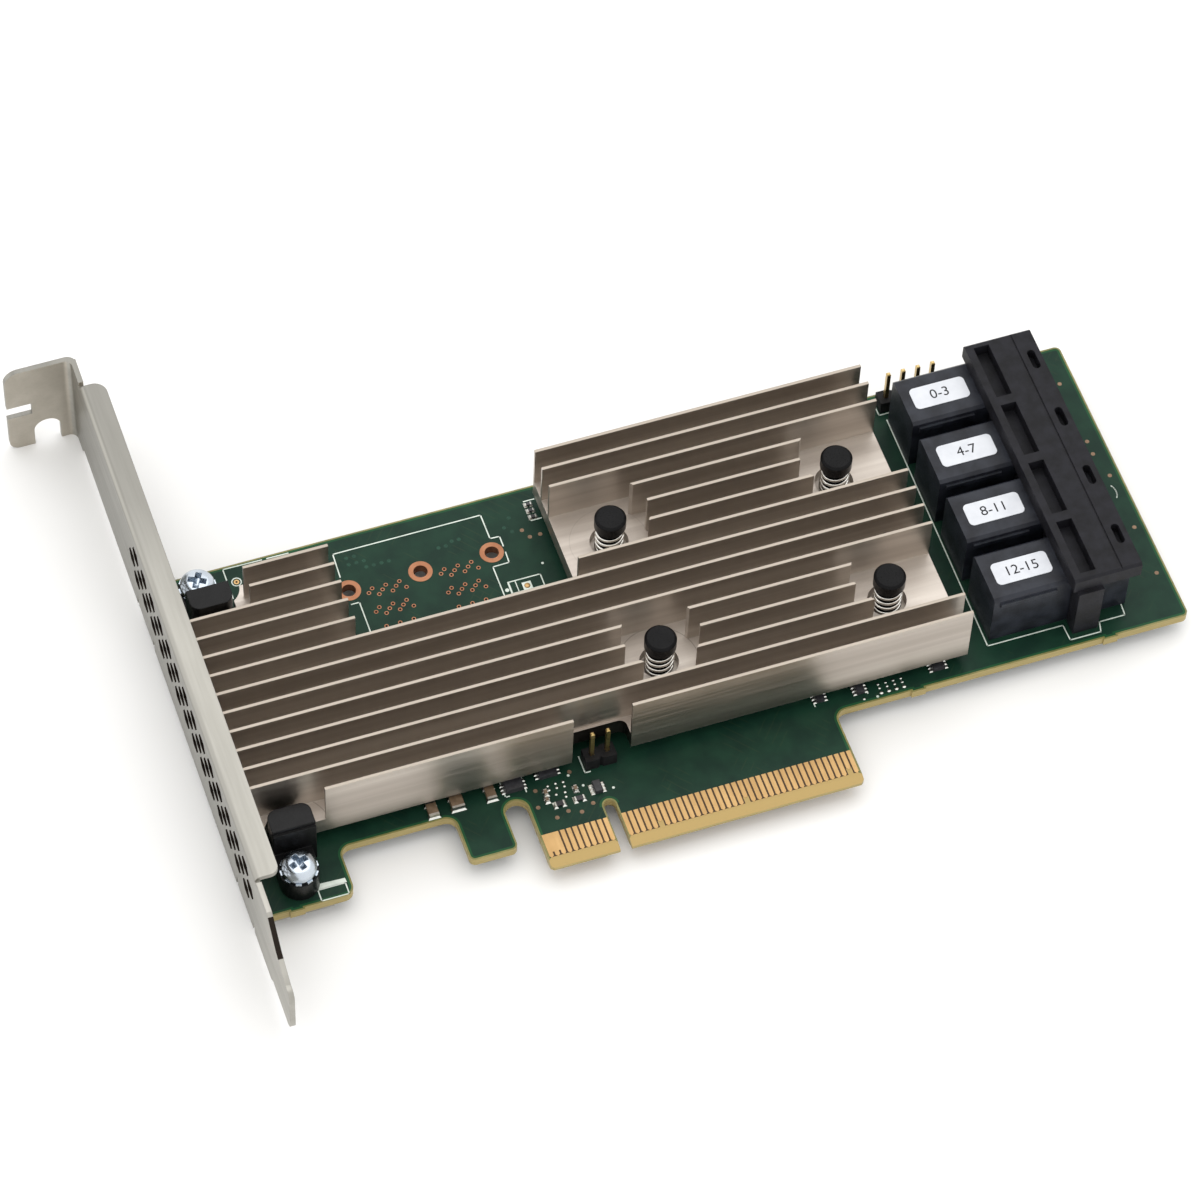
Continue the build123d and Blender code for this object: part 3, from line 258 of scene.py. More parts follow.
# Mask rim: the mask ends a quarter of a millimetre short of the routed edge on both faces, and the
# bare glass-epoxy laminate shows as a dull olive line. It leaves out the bevelled finger tips.
RIM_W = 0.27
RIM_LIFTS = (0.006, 0.006)
bare_laminate = layered("bare_laminate_rim", "#6b6a36", "#857f48", 0.45, 0.3, 0.002, IOR=1.5)
for name, level, upward in (("mask_rim_top", 0.0, 1), ("mask_rim_bottom", -BOARD_T, -1)):
    points, faces = edge_ribbon(nodes["circuit_board"], level, upward, RIM_W, RIM_LIFTS)
    middle = points[faces].mean(axis=1)
    at_tips = (middle[:, 1] < FINGER_TIP) & (np.abs(middle[:, 0] - FINGER_MID_X) < FINGER_SPAN / 2)
    piece(name, points, faces[~at_tips].tolist(), bare_laminate, "board_laminate")

# Contact fingers: hard gold over nickel on etched copper, a soft peach metal with faint wear
# along the direction in which the connector springs wipe.
plated_gold = layered(
    "hard_gold_plating",
    "#ad8c5e",
    "#b89768",
    0.38,
    0.25,
    0.0008,
    stretch=(1, 0.15, 1),
    Metallic=1.0,
)
dress(plated_gold, "edge_contacts_top", "edge_contacts_bottom")

# Plated module holes and vias: bare copper under an organic film, salmon pink and silky, with
# painted shade for the drilled bore in every small ring. The test points are tarnished and browner.
VIA_COLUMNS = (-23.5, -11.46)
VIA_ROWS = (56.32, 52.54, 48.76)
VIA_STEP = (0.755, 0.705)
bare_copper = layered("filmed_copper", "#986649", "#a67456", 0.42, 0.3, 0.001, Metallic=0.7)
dress(bare_copper, "plated_hole_rings")


def closed_grid(rows, columns):
    """Quads of a grid whose columns close on themselves, indexed along each row."""
    corner = np.arange((rows - 1) * columns).reshape(rows - 1, columns)
    beside = np.roll(corner, -1, axis=1)
    quads = np.stack([corner, beside, beside + columns, corner + columns], axis=-1)
    return quads.reshape(-1, 4)


def turned(centres, profile, steps):
    """Turned forms: each profile point (radius, height) goes round every centre in equal steps.
    A profile that ends where it began closes into a ring, and any other gets flat ends."""
    profile = np.asarray(profile, float)
    angle = np.arange(steps) * 2 * np.pi / steps
    radius, height = profile[:, 0, None], profile[:, 1, None]
    form = np.stack(
        [radius * np.cos(angle), radius * np.sin(angle), height + 0 * angle], axis=-1
    ).reshape(-1, 3)
    quads = closed_grid(len(profile), steps)
    ring = np.allclose(profile[0], profile[-1])
    if ring:
        form = form[:-steps]
        quads = quads % len(form)
    centres = np.asarray(centres, float)
    shift = np.concatenate([centres, np.zeros((len(centres), 1))], axis=1)
    points = (shift[:, None, :] + form).reshape(-1, 3)
    start = np.arange(len(centres))[:, None] * len(form)
    faces = (start[:, :, None] + quads).reshape(-1, 4).tolist()
    if not ring:
        faces += (start + np.arange(steps)[::-1]).tolist()
        faces += (start + len(form) - steps + np.arange(steps)).tolist()
    return points, faces


def stacked(*parts):
    """Joins separate point and face lists into one."""
    points, faces, start = [], [], 0
    for some_points, some_faces in parts:
        points.append(some_points)
        faces += [[corner + start for corner in face] for face in some_faces]
        start += len(some_points)
    return np.concatenate(points), faces


step = np.arange(9)
via_rows = [
    np.stack([column + VIA_STEP[0] * step, row + VIA_STEP[1] * ((step + 1) % 3)], axis=1)
    for column in VIA_COLUMNS
    for row in VIA_ROWS
]
vias = np.concatenate(via_rows)
VIA_RING = ((0.21, -0.02), (0.35, -0.02), (0.35, 0.012), (0.21, 0.012), (0.21, -0.02))
piece("via_rings", *turned(vias, VIA_RING, 20), bare_copper, "copper_plating")
# Painted shade: a dark disc in each ring stands for the shaded bore of the hole.
bore_shade = layered("painted_bore_shade", "#0d0a08", "#15100c", 0.7, 0.1, 0.001, Specular_IOR_Level=0.1)
VIA_BORE = ((0.21, -0.02), (0.21, 0.004))
piece("via_bore_shade", *turned(vias, VIA_BORE, 16), bore_shade, "board_laminate")
test_places = [
    (3.46, 61.07), (4.28, 59.48), (6.02, 59.49), (96.21, 61.69), (96.15, 49.57),
    (96.13, 46.98), (97.11, 42.19), (97.04, 31.56), (97.07, 22.27), (-10.15, 13.88),
    (-10.7, 10.86), (-8.46, 8.26), (-6.43, 8.88), (-4.48, 8.1), (-2.33, 9.07), (-4.02, 15.57),
]
COPPER_DOT = ((0.35, -0.02), (0.35, 0.012), (0.28, 0.016), (0.12, 0.004))
dull_copper = layered("tarnished_copper", "#7a6350", "#8b725c", 0.5, 0.2, 0.001, Metallic=0.6)
piece("test_points", *turned(test_places, COPPER_DOT, 20), dull_copper, "copper_plating")

# Tented vias: plated holes that the solder mask itself closes. The lacquer bulges over each and
# leaves a slightly raised, glossier and paler spot.
tented = [
    (-24.94, 64.5), (-23.65, 64.5), (-24.92, 63.2), (-23.64, 63.2), (-22.4, 63.2),
    (-22.38, 61.95), (-21.13, 61.95), (-19.85, 61.95), (-18.6, 61.95), (-10.3, 61.9),
    (-9.1, 61.9), (-7.9, 62.5), (-6.7, 62.5), (0.9, 62.4), (1.9, 61.3), (2.2, 64.0),
]
mask_spot = layered("mask_over_vias", "#183c2e", "#1f4636", 0.3, 0.2, 0.001, Specular_IOR_Level=0.2)
SPOT = ((0.34, -0.02), (0.33, 0.008), (0.2, 0.018), (0.05, 0.02))
piece("tented_vias", *turned(tented, SPOT, 16), mask_spot, "board_laminate", smooth=40)

# Gold-plated spots: a domed test pad and a small ringed hole, plated with the contact fingers, so
# they have the same peach gold. The hole's bore gets the same painted shade as those of the vias.
GOLD_SPOT = (-42.9, 65.5)
GOLD_DOME = ((0.5, -0.01), (0.5, 0.02), (0.44, 0.1), (0.3, 0.17), (0.1, 0.2))
piece(
    "plated_dome", *turned([(0.9, 50.7)], GOLD_DOME, 24), plated_gold, "gold_plating", smooth=40
)
GOLD_RING = ((0.18, -0.01), (0.45, -0.01), (0.45, 0.014), (0.18, 0.014), (0.18, -0.01))
piece("plated_spot", *turned([GOLD_SPOT], GOLD_RING, 28), plated_gold, "gold_plating")
SPOT_BORE = ((0.18, -0.02), (0.18, 0.004))
piece("spot_bore_shade", *turned([GOLD_SPOT], SPOT_BORE, 16), bore_shade, "board_laminate")

# White marking ink: screen-printed lines a fifth of a millimetre wide that frame the places of
# parts, with a few solid dots and bars. The print is thin, so the mask's grain shows through.
PRINT_W = 0.2
PRINT_TOP = 0.014
marking_ink = layered("marking_ink", "#c3cfc4", "#dde5dc", 0.55, 0.25, 0.002, IOR=1.5)


def plates(outline, low, high):
    """Flat plates: every outline of k corners, anticlockwise, drawn up from low to high."""
    outline = np.asarray(outline, float)
    count, corners, _ = outline.shape
    floor = np.full((count, corners, 1), float(low))
    bottom = np.concatenate([outline, floor], axis=-1)
    top = np.concatenate([outline, floor - low + high], axis=-1)
    points = np.concatenate([bottom, top], axis=1).reshape(-1, 3)
    start = np.arange(count)[:, None] * 2 * corners
    this = np.arange(corners)
    after = (this + 1) % corners
    side = np.stack([this, after, after + corners, this + corners], axis=-1)
    faces = (start[:, :, None] + side).reshape(-1, 4).tolist()
    faces += (start + this[::-1]).tolist() + (start + this + corners).tolist()
    return points, faces


def strokes(paths, width):
    """Outlines of drawn lines: each run between two points, half a width out on both sides and
    beyond both ends."""
    runs = np.array([(*a, *b) for path in paths for a, b in zip(path, path[1:])], float)
    first, last = runs[:, :2], runs[:, 2:]
    along = (last - first) / np.linalg.norm(last - first, axis=1)[:, None]
    across = np.stack([-along[:, 1], along[:, 0]], axis=1)
    half = width / 2
    first, last = first - along * half, last + along * half
    return np.stack(
        [first - across * half, last - across * half, last + across * half, first + across * half],
        axis=1,
    )


def framed(low_x, low_y, high_x, high_y):
    """Closed path round a rectangle."""
    return [
        (low_x, low_y), (high_x, low_y), (high_x, high_y), (low_x, high_y), (low_x, low_y),
    ]


bow = np.linspace(-0.9, 0.9, 8)
print_paths = [
    [(-25.47, 55.8), (-26.8, 55.8)],
    [(-26.95, 61.33), (-26.76, 65.89), (-1.93, 65.9), (-1.91, 61.1), (-0.33, 61.04), (-0.34, 59.1)],
    [(-0.37, 57.82), (-0.45, 55.8), (-3.2, 55.75), (-3.15, 46.0)],
    [(-25.47, 55.8), (-25.53, 46.0)],
    [(-37.9, 68.35), (-44.32, 68.45), (-44.31, 62.66)],
    [(-37.0, 68.35), (-33.5, 68.3)],
    framed(-47.5, 5.15, -43.1, 7.15),
    [(66.8, 63.5), (66.35, 17.5), (79.1, 17.5), (79.2, 14.55), (84.4, 14.55), (84.85, 16.35),
     (89.2, 16.35), (89.45, 19.3)],
    [(-1.88, 49.92), (3.55, 49.92), (3.55, 52.18), (-1.88, 52.18)],
    [(5.49, 66.29), (7.2, 66.29)],
    [(5.5, 62.42), (7.2, 62.42)],
    [(-1.75, 17.75), (-1.75, 14.65), (-0.9, 14.65)],
    framed(65.9, 64.8, 76.5, 68.0),
    np.stack([96.0 + 0.9 * np.cos(bow), 39.0 + 1.5 * np.sin(bow)], axis=1).tolist(),
    [(-14.9, 17.2), (-14.9, 14.2), (-14.3, 14.2)],
    [(-11.5, 14.2), (-11.5, 17.2)],
    [(36.5, 15.2), (36.5, 18.0)],
    [(45.2, 15.0), (45.2, 17.6)],
]
bars = [
    [(-47.66, 7.2), (-42.83, 7.2), (-42.91, 8.0), (-47.66, 8.2)],
    [(-2.0, 50.0), (-1.7, 50.0), (-1.7, 52.1), (-2.0, 52.1)],
    [(-0.78, 50.0), (-0.62, 50.0), (-0.62, 52.1), (-0.78, 52.1)],
]
white_dots = [(-2.77, 12.57), (1.57, 10.77), (-4.4, 14.99), (46.49, 13.94), (4.57, 54.04)]
WHITE_DOT = ((0.22, -0.01), (0.22, PRINT_TOP))
LARGE_DOT = ((0.34, -0.01), (0.34, PRINT_TOP))
WHITE_RING = ((0.66, -0.01), (0.84, -0.01), (0.84, PRINT_TOP), (0.66, PRINT_TOP), (0.66, -0.01))
piece(
    "marking_print",
    *stacked(
        plates(strokes(print_paths, PRINT_W), -0.01, PRINT_TOP),
        plates(bars, -0.01, PRINT_TOP),
        turned(white_dots, WHITE_DOT, 16),
        turned([(-2.43, 50.81)], LARGE_DOT, 20),
        turned([GOLD_SPOT], WHITE_RING, 32),
    ),
    marking_ink,
    "board_laminate",
)
piece(
    "white_pad",
    *plates([[(0.15, 49.95), (1.65, 49.95), (1.65, 51.45), (0.15, 51.45)]], -0.01, 0.02),
    marking_ink,
    "board_laminate",
)

# Solder: reflowed tin alloy, mirror-bright with a faint grain. It stands in domes where a small
# part isn't fitted, and in cones round the header posts below the board.
ARRAY_PITCH = 1.27
POST_PITCH = 2.54
solder_tin = layered("reflowed_solder", "#cfd0ca", "#e2e3dd", 0.24, 0.2, 0.002, Metallic=1.0)
DOME = ((0.25, -0.01), (0.25, 0.02), (0.19, 0.1), (0.06, 0.14))
array = [
    (47.3 + ARRAY_PITCH * column, 14.6 + 0.73 * row) for column in range(4) for row in (1, 2)
]
tinned = array + [
    (-8.08, 14.13), (-8.08, 13.36), (-6.77, 14.23), (-6.81, 13.41), (-5.55, 14.14),
    (-5.59, 13.33), (-5.84, 12.28), (-5.94, 11.46), (-7.28, 12.28), (44.31, 14.15),
]
WIDE_DOME = ((0.34, -0.01), (0.34, 0.02), (0.25, 0.1), (0.08, 0.14))
wide = [(47.3 + ARRAY_PITCH * column, 14.45) for column in range(4)]
CONE = ((0.34, -2.5), (0.42, -2.2), (0.62, -1.85), (0.95, -1.6), (0.95, -1.56))
posts = [(67.5 + POST_PITCH * place, 66.4) for place in range(4)]
posts += [(-0.25 + POST_PITCH * place, 16.2) for place in range(2)]
piece(
    "solder_joints",
    *stacked(turned(tinned, DOME, 14), turned(wide, WIDE_DOME, 18), turned(posts, CONE, 20)),
    solder_tin,
    "lead_tin",
    smooth=50,
)

# Small parts soldered to the board: fired ceramic capacitors with tinned ends, thick-film
# resistors in dark glass, and small moulded packages on formed tin-plated leads. Solder climbs
# up every end and lead in a bright sloping fillet.
for name, fitted, width, height in (
    ("chip_fillets", "chip_terminals", 0.24, 0.3),
    ("lead_fillets", "package_leads", 0.16, 0.12),
):
    points, faces = edge_ribbon(nodes[fitted], 0.0, 1, width, (height, 0.008))
    piece(name, points, faces.tolist(), solder_tin, "lead_tin")
ceramic_tan = layered("fired_ceramic", "#5f4c36", "#75604a", 0.5, 0.12, 0.002, edge=0.05, IOR=1.6)
resistor_glass = layered("resistor_glass", "#17171a", "#232328", 0.3, 0.15, 0.001, IOR=1.55)
mould_compound = layered(
    "epoxy_mould_compound", "#232326", "#303034", 0.52, 0.08, 0.003, edge=0.06, IOR=1.55
)
tin_plate = layered("matt_tin_plate", "#b4b3ad", "#c9c8c2", 0.36, 0.15, 0.001, Metallic=1.0)
dress(ceramic_tan, "ceramic_capacitors", "underside_capacitors")
dress(resistor_glass, "chip_resistors")
dress(
    mould_compound,
    "small_packages",
    "memory_chips",
    "flash_memory",
    "power_stages",
    "power_inductors",
    "bulk_capacitors",
)
dress(tin_plate, "package_leads", "chip_terminals")

# Controller package under the heat sink: green laminate, nickel-plated copper lid and a grey
# silicone pad pressed flat between the lid and the aluminium base.
nickel_lid = layered("nickel_plated_lid", "#a9a8a2", "#bab9b2", 0.33, 0.3, 0.001, Metallic=1.0)
package_laminate = layered("package_laminate", "#2b4a2c", "#355836", 0.4, 0.3, 0.001, IOR=1.5)
silicone_pad = layered("silicone_pad", "#7f8a94", "#8e98a1", 0.7, 0.2, 0.006, IOR=1.42)
dress(nickel_lid, "controller_lid", "clock_crystal")
dress(package_laminate, "controller_substrate")
dress(silicone_pad, "thermal_pad")

# Heat sink: aluminium, extruded with fins along the card, then milled, pressed down by four pins.
# Die lines run along the fins a third of a millimetre apart, the cutter has left rings on the
# floor of each pocket, the fin tops are toned darker, and painted shade darkens the header cut-out.
POCKETS = ((14.6, 27.2), (52.6, 27.2), (14.6, 51.1), (52.6, 51.1))
# The cutter also rounded the corner at the lower holder. The shares say how clearly rims show.
CORNER = (-49.3, 15.1)
RIM_SHOWS = (0.35, 0.0, 0.12, 0.0, 0.35)
RING_TURN = 2 * np.pi / 0.9
RING_REACH = 6.3
RING_RELIEF = 0.35
RIM_HALF = 0.08
FIN_TOP = 14.1
FIN_TIP_HALF = 0.3
# Middle and half reach of the header cut-out along, across and up.
HEADER_CUT = ((1.2, 4.82), (15.5, 3.6), (4.0, 1.7))
extruded = layered(
    "extruded_aluminium",
    "#b2a9a0",
    "#c8c0b7",
    0.38,
    0.33,
    0.005,
    stretch=(0.02, 1, 1),
    edge=0.08,
    Metallic=1.0,
)
sink_tree = extruded.node_tree
sink_place = add(sink_tree, "TexCoord", {}).outputs["Object"]
sink_normal = add(sink_tree, "NewGeometry", {}).outputs["Normal"]
sink_facing = add(sink_tree, "SeparateXYZ", {0: sink_normal}).outputs[2]
upward = add(sink_tree, "MapRange", {0: sink_facing, 1: 0.8, 2: 0.9}).outputs[0]
sink_shader = sink_tree.nodes["surface"]
drawn = sink_shader.inputs["Roughness"].links[0].from_socket
milled = add(sink_tree, "Math", {0: upward, 1: 0.1, 2: drawn}, operation="MULTIPLY_ADD")
sink_axes = add(sink_tree, "SeparateXYZ", {0: sink_place}).outputs
tip = add(
    sink_tree,
    "Math",
    {0: sink_axes[2], 1: FIN_TOP * MM, 2: FIN_TIP_HALF * MM},
    operation="COMPARE",
).outputs[0]
# The tops of the fins get a darker tone.
darker_fin_tops = add(sink_tree, "Math", {0: tip, 1: upward}, operation="MULTIPLY").outputs[0]
floor_share = add(sink_tree, "Math", {0: upward, 1: darker_fin_tops}, operation="SUBTRACT").outputs[0]
blend_in(extruded, darker_fin_tops, linear("#aca397"))
# Painted shade: the wall of the header cut-out is darkened where it lies in shadow.
cutout_wall_shade = add(
    sink_tree, "Math", {0: 0.85, 1: upward}, operation="SUBTRACT", use_clamp=True
).outputs[0]
for value, (middle, half) in zip(sink_axes, HEADER_CUT):
    near = add(
        sink_tree, "Math", {0: value, 1: middle * MM, 2: half * MM}, operation="COMPARE"
    ).outputs[0]
    cutout_wall_shade = add(sink_tree, "Math", {0: near, 1: cutout_wall_shade}, operation="MULTIPLY").outputs[0]
blend_in(extruded, cutout_wall_shade, linear("#171514"))
sink_tree.links.new(milled.outputs[0], sink_shader.inputs["Roughness"])
bump_node = next(node for node in sink_tree.nodes if node.type == "BUMP")
heights = bump_node.inputs["Height"].links[0].from_socket
for (x, y), shows in zip(POCKETS + (CORNER,), RIM_SHOWS):
    turned_place = add(
        sink_tree,
        "Mapping",
        {
            "Vector": sink_place,
            "Location": (-x * RING_TURN, -y * RING_TURN, 0),
            "Scale": (1000 * RING_TURN, 1000 * RING_TURN, 0),
        },
    ).outputs[0]
    away = add(sink_tree, "VectorMath", {0: turned_place}, operation="LENGTH").outputs["Value"]
    ring = add(sink_tree, "Math", {0: away}, operation="SINE").outputs[0]
    near = add(
        sink_tree,
        "MapRange",
        {
            0: away,
            1: (RING_REACH - 0.1) * RING_TURN,
            2: RING_REACH * RING_TURN,
            3: RING_RELIEF,
            4: 0.0,
        },
    ).outputs[0]
    heights = add(
        sink_tree, "Math", {0: ring, 1: near, 2: heights}, operation="MULTIPLY_ADD"
    ).outputs[0]
    rim = add(
        sink_tree,
        "Math",
        {0: away, 1: RING_REACH * RING_TURN, 2: RIM_HALF * RING_TURN},
        operation="COMPARE",
    ).outputs[0]
    rim = add(sink_tree, "Math", {0: rim, 1: floor_share}, operation="MULTIPLY").outputs[0]
    faint = add(sink_tree, "Math", {0: rim, 1: shows}, operation="MULTIPLY").outputs[0]
    blend_in(extruded, faint, linear("#4d463e"))
sink_tree.links.new(heights, bump_node.inputs["Height"])
dress(extruded, "heat_sink")

# Push pins: moulded black nylon with a split barb below the board. Each is pulled up by a coil
# spring of drawn stainless wire with closed ends.
PIN_SPRING = {"radius": 2.1, "wire": 0.28, "low": 3.7, "high": 10.2, "turns": 4.5}
moulded_nylon = layered(
    "moulded_nylon", "#0d0d0e", "#121213", 0.3, 0.2, 0.002, edge=0.12, Specular_IOR_Level=0.1
)
dress(moulded_nylon, "push_pins")
spring_wire = layered("drawn_spring_wire", "#d3d1cb", "#e8e6e0", 0.2, 0.1, 0.0005, Metallic=1.0)


def coil_spring(centre, radius, wire, low, high, turns):
    """Tube along a helix: the centre line climbs evenly while it goes round, and a circle of
    the wire's radius stands across it, one side outwards and one side upwards."""
    angle = np.linspace(0, 2 * np.pi * turns, int(turns * 28))[:, None]
    climb = high - low - 2 * wire
    slope = climb / (2 * np.pi * turns)
    outward = np.concatenate([np.cos(angle), np.sin(angle), 0 * angle], axis=1)
    forward = np.concatenate([-np.sin(angle), np.cos(angle), 0 * angle + slope / radius], axis=1)
    forward /= np.linalg.norm(forward, axis=1)[:, None]
    upward = np.cross(outward, forward)
    line = outward * radius
    line[:, 2] = low + wire + angle[:, 0] * slope
    line[:, :2] += centre
    around = np.arange(10) * 2 * np.pi / 10
    tube = (
        line[:, None, :]
        + wire * np.cos(around)[:, None] * outward[:, None, :]
        + wire * np.sin(around)[:, None] * upward[:, None, :]
    ).reshape(-1, 3)
    faces = closed_grid(len(angle), 10)[:, ::-1].tolist()
    faces += [list(range(10)), list(range(len(tube) - 10, len(tube)))[::-1]]
    return tube, faces


piece(
    "coil_springs",
    *stacked(*[coil_spring(np.array(centre), **PIN_SPRING) for centre in POCKETS]),
    spring_wire,
    "spring_steel",
    smooth=60,
    replaced=("push_pin_springs",),
)

# Bracket: cold-rolled steel sheet, folded and punched, then bright nickel plated. The rolling
# lines run along its length. Painted shade darkens the walls of the vents and of the tongue,
# the face beyond its lower end and the flange near its top; painted light lifts and warms the tab.
FACE_SHADING_STRENGTH = 0.6
# Each painted shading: the axis its faces look along, its most, where it starts and is full, and
# its tone.
FACE_SHADING = (
    (0, 0.9, -6.0, 10.0, "#7c7b76"),
    (2, 1.0, 45.0, 75.0, "#73726d"),
    (1, 0.6, 98.0, 100.0, "#d2c6b4"),
)
# Each field of painted wall shade: its middle and half reach along the bracket, then the same
# upwards.
SHADED_WALLS = (((36.7, 36.0), (7.75, 5.3)), ((-6.2, 2.5), (4.0, 12.0)))
nickel_steel = layered(
    "nickel_plated_sheet",
    "#9f9d96",
    "#aeaca5",
    0.44,
    0.4,
    0.002,
    stretch=(1, 0.04, 1),
    edge=0.15,
    Metallic=1.0,
)
steel_tree = nickel_steel.node_tree
steel_place = add(steel_tree, "TexCoord", {}).outputs["Object"]
steel_place = add(
    steel_tree, "Mapping", {"Vector": steel_place, "Scale": METRES_TO_MM}
).outputs[0]
steel_axes = add(steel_tree, "SeparateXYZ", {0: steel_place}).outputs
steel_normal = add(steel_tree, "NewGeometry", {}).outputs["Normal"]
steel_facing = add(steel_tree, "SeparateXYZ", {0: steel_normal}).outputs
# Painted shade on the face and the flange and painted light on the tab, by the way each looks.
for axis, most, clear, full, tone in FACE_SHADING:
    leaning = add(steel_tree, "Math", {0: steel_facing[axis]}, operation="ABSOLUTE").outputs[0]
    flat = add(steel_tree, "MapRange", {0: leaning, 1: 0.8, 2: 0.95, 4: FACE_SHADING_STRENGTH}).outputs[0]
    along = add(steel_tree, "MapRange", {0: steel_axes[1], 1: clear, 2: full, 4: most}).outputs[0]
    share = add(steel_tree, "Math", {0: flat, 1: along}, operation="MULTIPLY").outputs[0]
    blend_in(nickel_steel, share, linear(tone))
# Painted shade: the walls of the vents and of the tongue are darkened.
for field in SHADED_WALLS:
    wall_shade = add(
        steel_tree, "Math", {0: steel_facing[0], 1: 0.0, 2: 0.5}, operation="COMPARE"
    ).outputs[0]
    for value, (middle, half) in zip(steel_axes[1:3], field):
        near = add(
            steel_tree, "Math", {0: value, 1: middle, 2: half}, operation="COMPARE"
        ).outputs[0]
        wall_shade = add(steel_tree, "Math", {0: near, 1: wall_shade}, operation="MULTIPLY").outputs[0]
    blend_in(nickel_steel, wall_shade, linear("#2b2622"))
dress(nickel_steel, "full_height_bracket")

# Holders: two black glass-filled nylon mouldings that carry the bracket, each held by one screw.
# The mould was spark-eroded, so they are satin, with glossy rounded edges.
moulded_black = layered(
    "glass_filled_moulding",
    "#0b0b0c",
    "#111112",
    0.32,
    0.16,
    0.004,
    edge=0.25,
    Specular_IOR_Level=0.2,
)
dress(moulded_black, "lower_bracket_holder", "upper_bracket_holder")

# Bracket screws: cold-headed steel, pan heads with a cross recess over toothed washers, driven
# through the holders into the tapped tabs. The zinc plate is bright and slightly blue.
SCREW_AT = ((-49.8, 9.2), (-49.8, 63.6))
SCREW_TURNS = (0.35, 1.1)
HEAD_R = 2.775
HEAD_LOW = 4.5
HEAD_T = 1.9
SHANK_R = 1.45
THREAD_DEPTH = 0.16
ARM_REACH = 1.5
ARM_HALF = 0.5
RECESS_SLOPE = 0.35
zinc_plate = layered("bright_zinc_plate", "#b2bbc5", "#c6ced6", 0.25, 0.8, 0.001, Metallic=1.0)
dress(zinc_plate, "lock_washers")


def arm(along, across):
    """How far a place lies outside one arm of the cross, as the larger of its two overshoots."""
    return np.maximum(np.abs(along) - ARM_REACH, np.abs(across) - ARM_HALF)


def pan_head(centre, turn):
    """Screw as a grid of radius and angle: a crown that falls away with the square and the sixth
    power of the radius, less the cross recess, whose walls slope in from its outline. The first
    rows run up the threaded shank, under the head and up its rim."""
    steps = 168
    radius = np.linspace(0.03, HEAD_R - 0.04, 84)[:, None]
    angle = np.arange(steps)[None, :] * 2 * np.pi / steps
    share = radius / HEAD_R
    crown = HEAD_LOW + HEAD_T - 0.3 * share**2 - 0.85 * share**6
    x = radius * np.cos(angle - turn)
    y = radius * np.sin(angle - turn)
    outside = np.minimum(arm(x, y), arm(y, x))
    depth = np.clip(-outside / RECESS_SLOPE, 0, 1) * (1.6 - 0.35 * radius)
    top = np.stack([radius * np.cos(angle), radius * np.sin(angle), crown - depth], axis=-1)[::-1]
    thread = np.arange(HEAD_LOW - 0.6, -2.9, -0.25)
    ridge = SHANK_R - THREAD_DEPTH * (np.arange(len(thread)) % 2)
    lower = np.concatenate(
        [
            [(SHANK_R - 0.5, -3.2), (SHANK_R - 0.15, -3.0)],
            np.stack([ridge, thread], axis=1)[::-1],
            [(SHANK_R, HEAD_LOW), (HEAD_R - 0.08, HEAD_LOW), (HEAD_R, HEAD_LOW + 0.1)],
        ]
    )
    bottom = np.stack(
        [lower[:, :1] * np.cos(angle), lower[:, :1] * np.sin(angle), lower[:, 1:] + 0 * angle],
        axis=-1,
    )
    form = np.concatenate([bottom, top]).reshape(-1, 3)
    form[:, :2] += centre
    faces = closed_grid(len(lower) + len(radius), steps).tolist()
    faces += [list(range(steps))[::-1], list(range(len(form) - steps, len(form)))]
    return form, faces


piece(
    "pan_head_screws",
    *stacked(*[pan_head(np.array(centre), turn) for centre, turn in zip(SCREW_AT, SCREW_TURNS)]),
    zinc_plate,
    "screw_steel",
    smooth=35,
    replaced=("bracket_screws",),
)

# Pin headers: black moulded polyester bodies, matt with a fine grain, pressed over square posts
# of drawn brass. The posts have a gold flash over nickel, yellower than the contact fingers.
gold_flash = layered("gold_flash_posts", "#b9a06a", "#cdb47c", 0.32, 0.2, 0.001, Metallic=1.0)
header_black = layered(
    "header_polyester", "#161617", "#1d1d1e", 0.5, 0.14, 0.003, edge=0.08, Specular_IOR_Level=0.15
)
dress(header_black, "four_pin_header_body", "two_pin_header_body")
dress(gold_flash, "four_pin_header_pins", "two_pin_header_pins", "receptacle_contacts")

# Cable receptacles and the frame that gangs them: black glass-filled polyester. The housings
# have a finer grain and a bluish sheen, and the frame is duller and a little rougher.
housing_black = layered(
    "receptacle_polyester",
    "#15171e",
    "#282b33",
    0.42,
    0.35,
    0.005,
    edge=0.12,
    Specular_IOR_Level=0.28,
)
frame_black = layered(
    "frame_polyester", "#161619", "#1f1f24", 0.5, 0.22, 0.004, edge=0.15, Specular_IOR_Level=0.16
)
dress(housing_black, *[f"receptacle_housing_{number}" for number in range(1, 5)])
dress(housing_black, "contact_inserts")
dress(frame_black, "receptacle_frame")

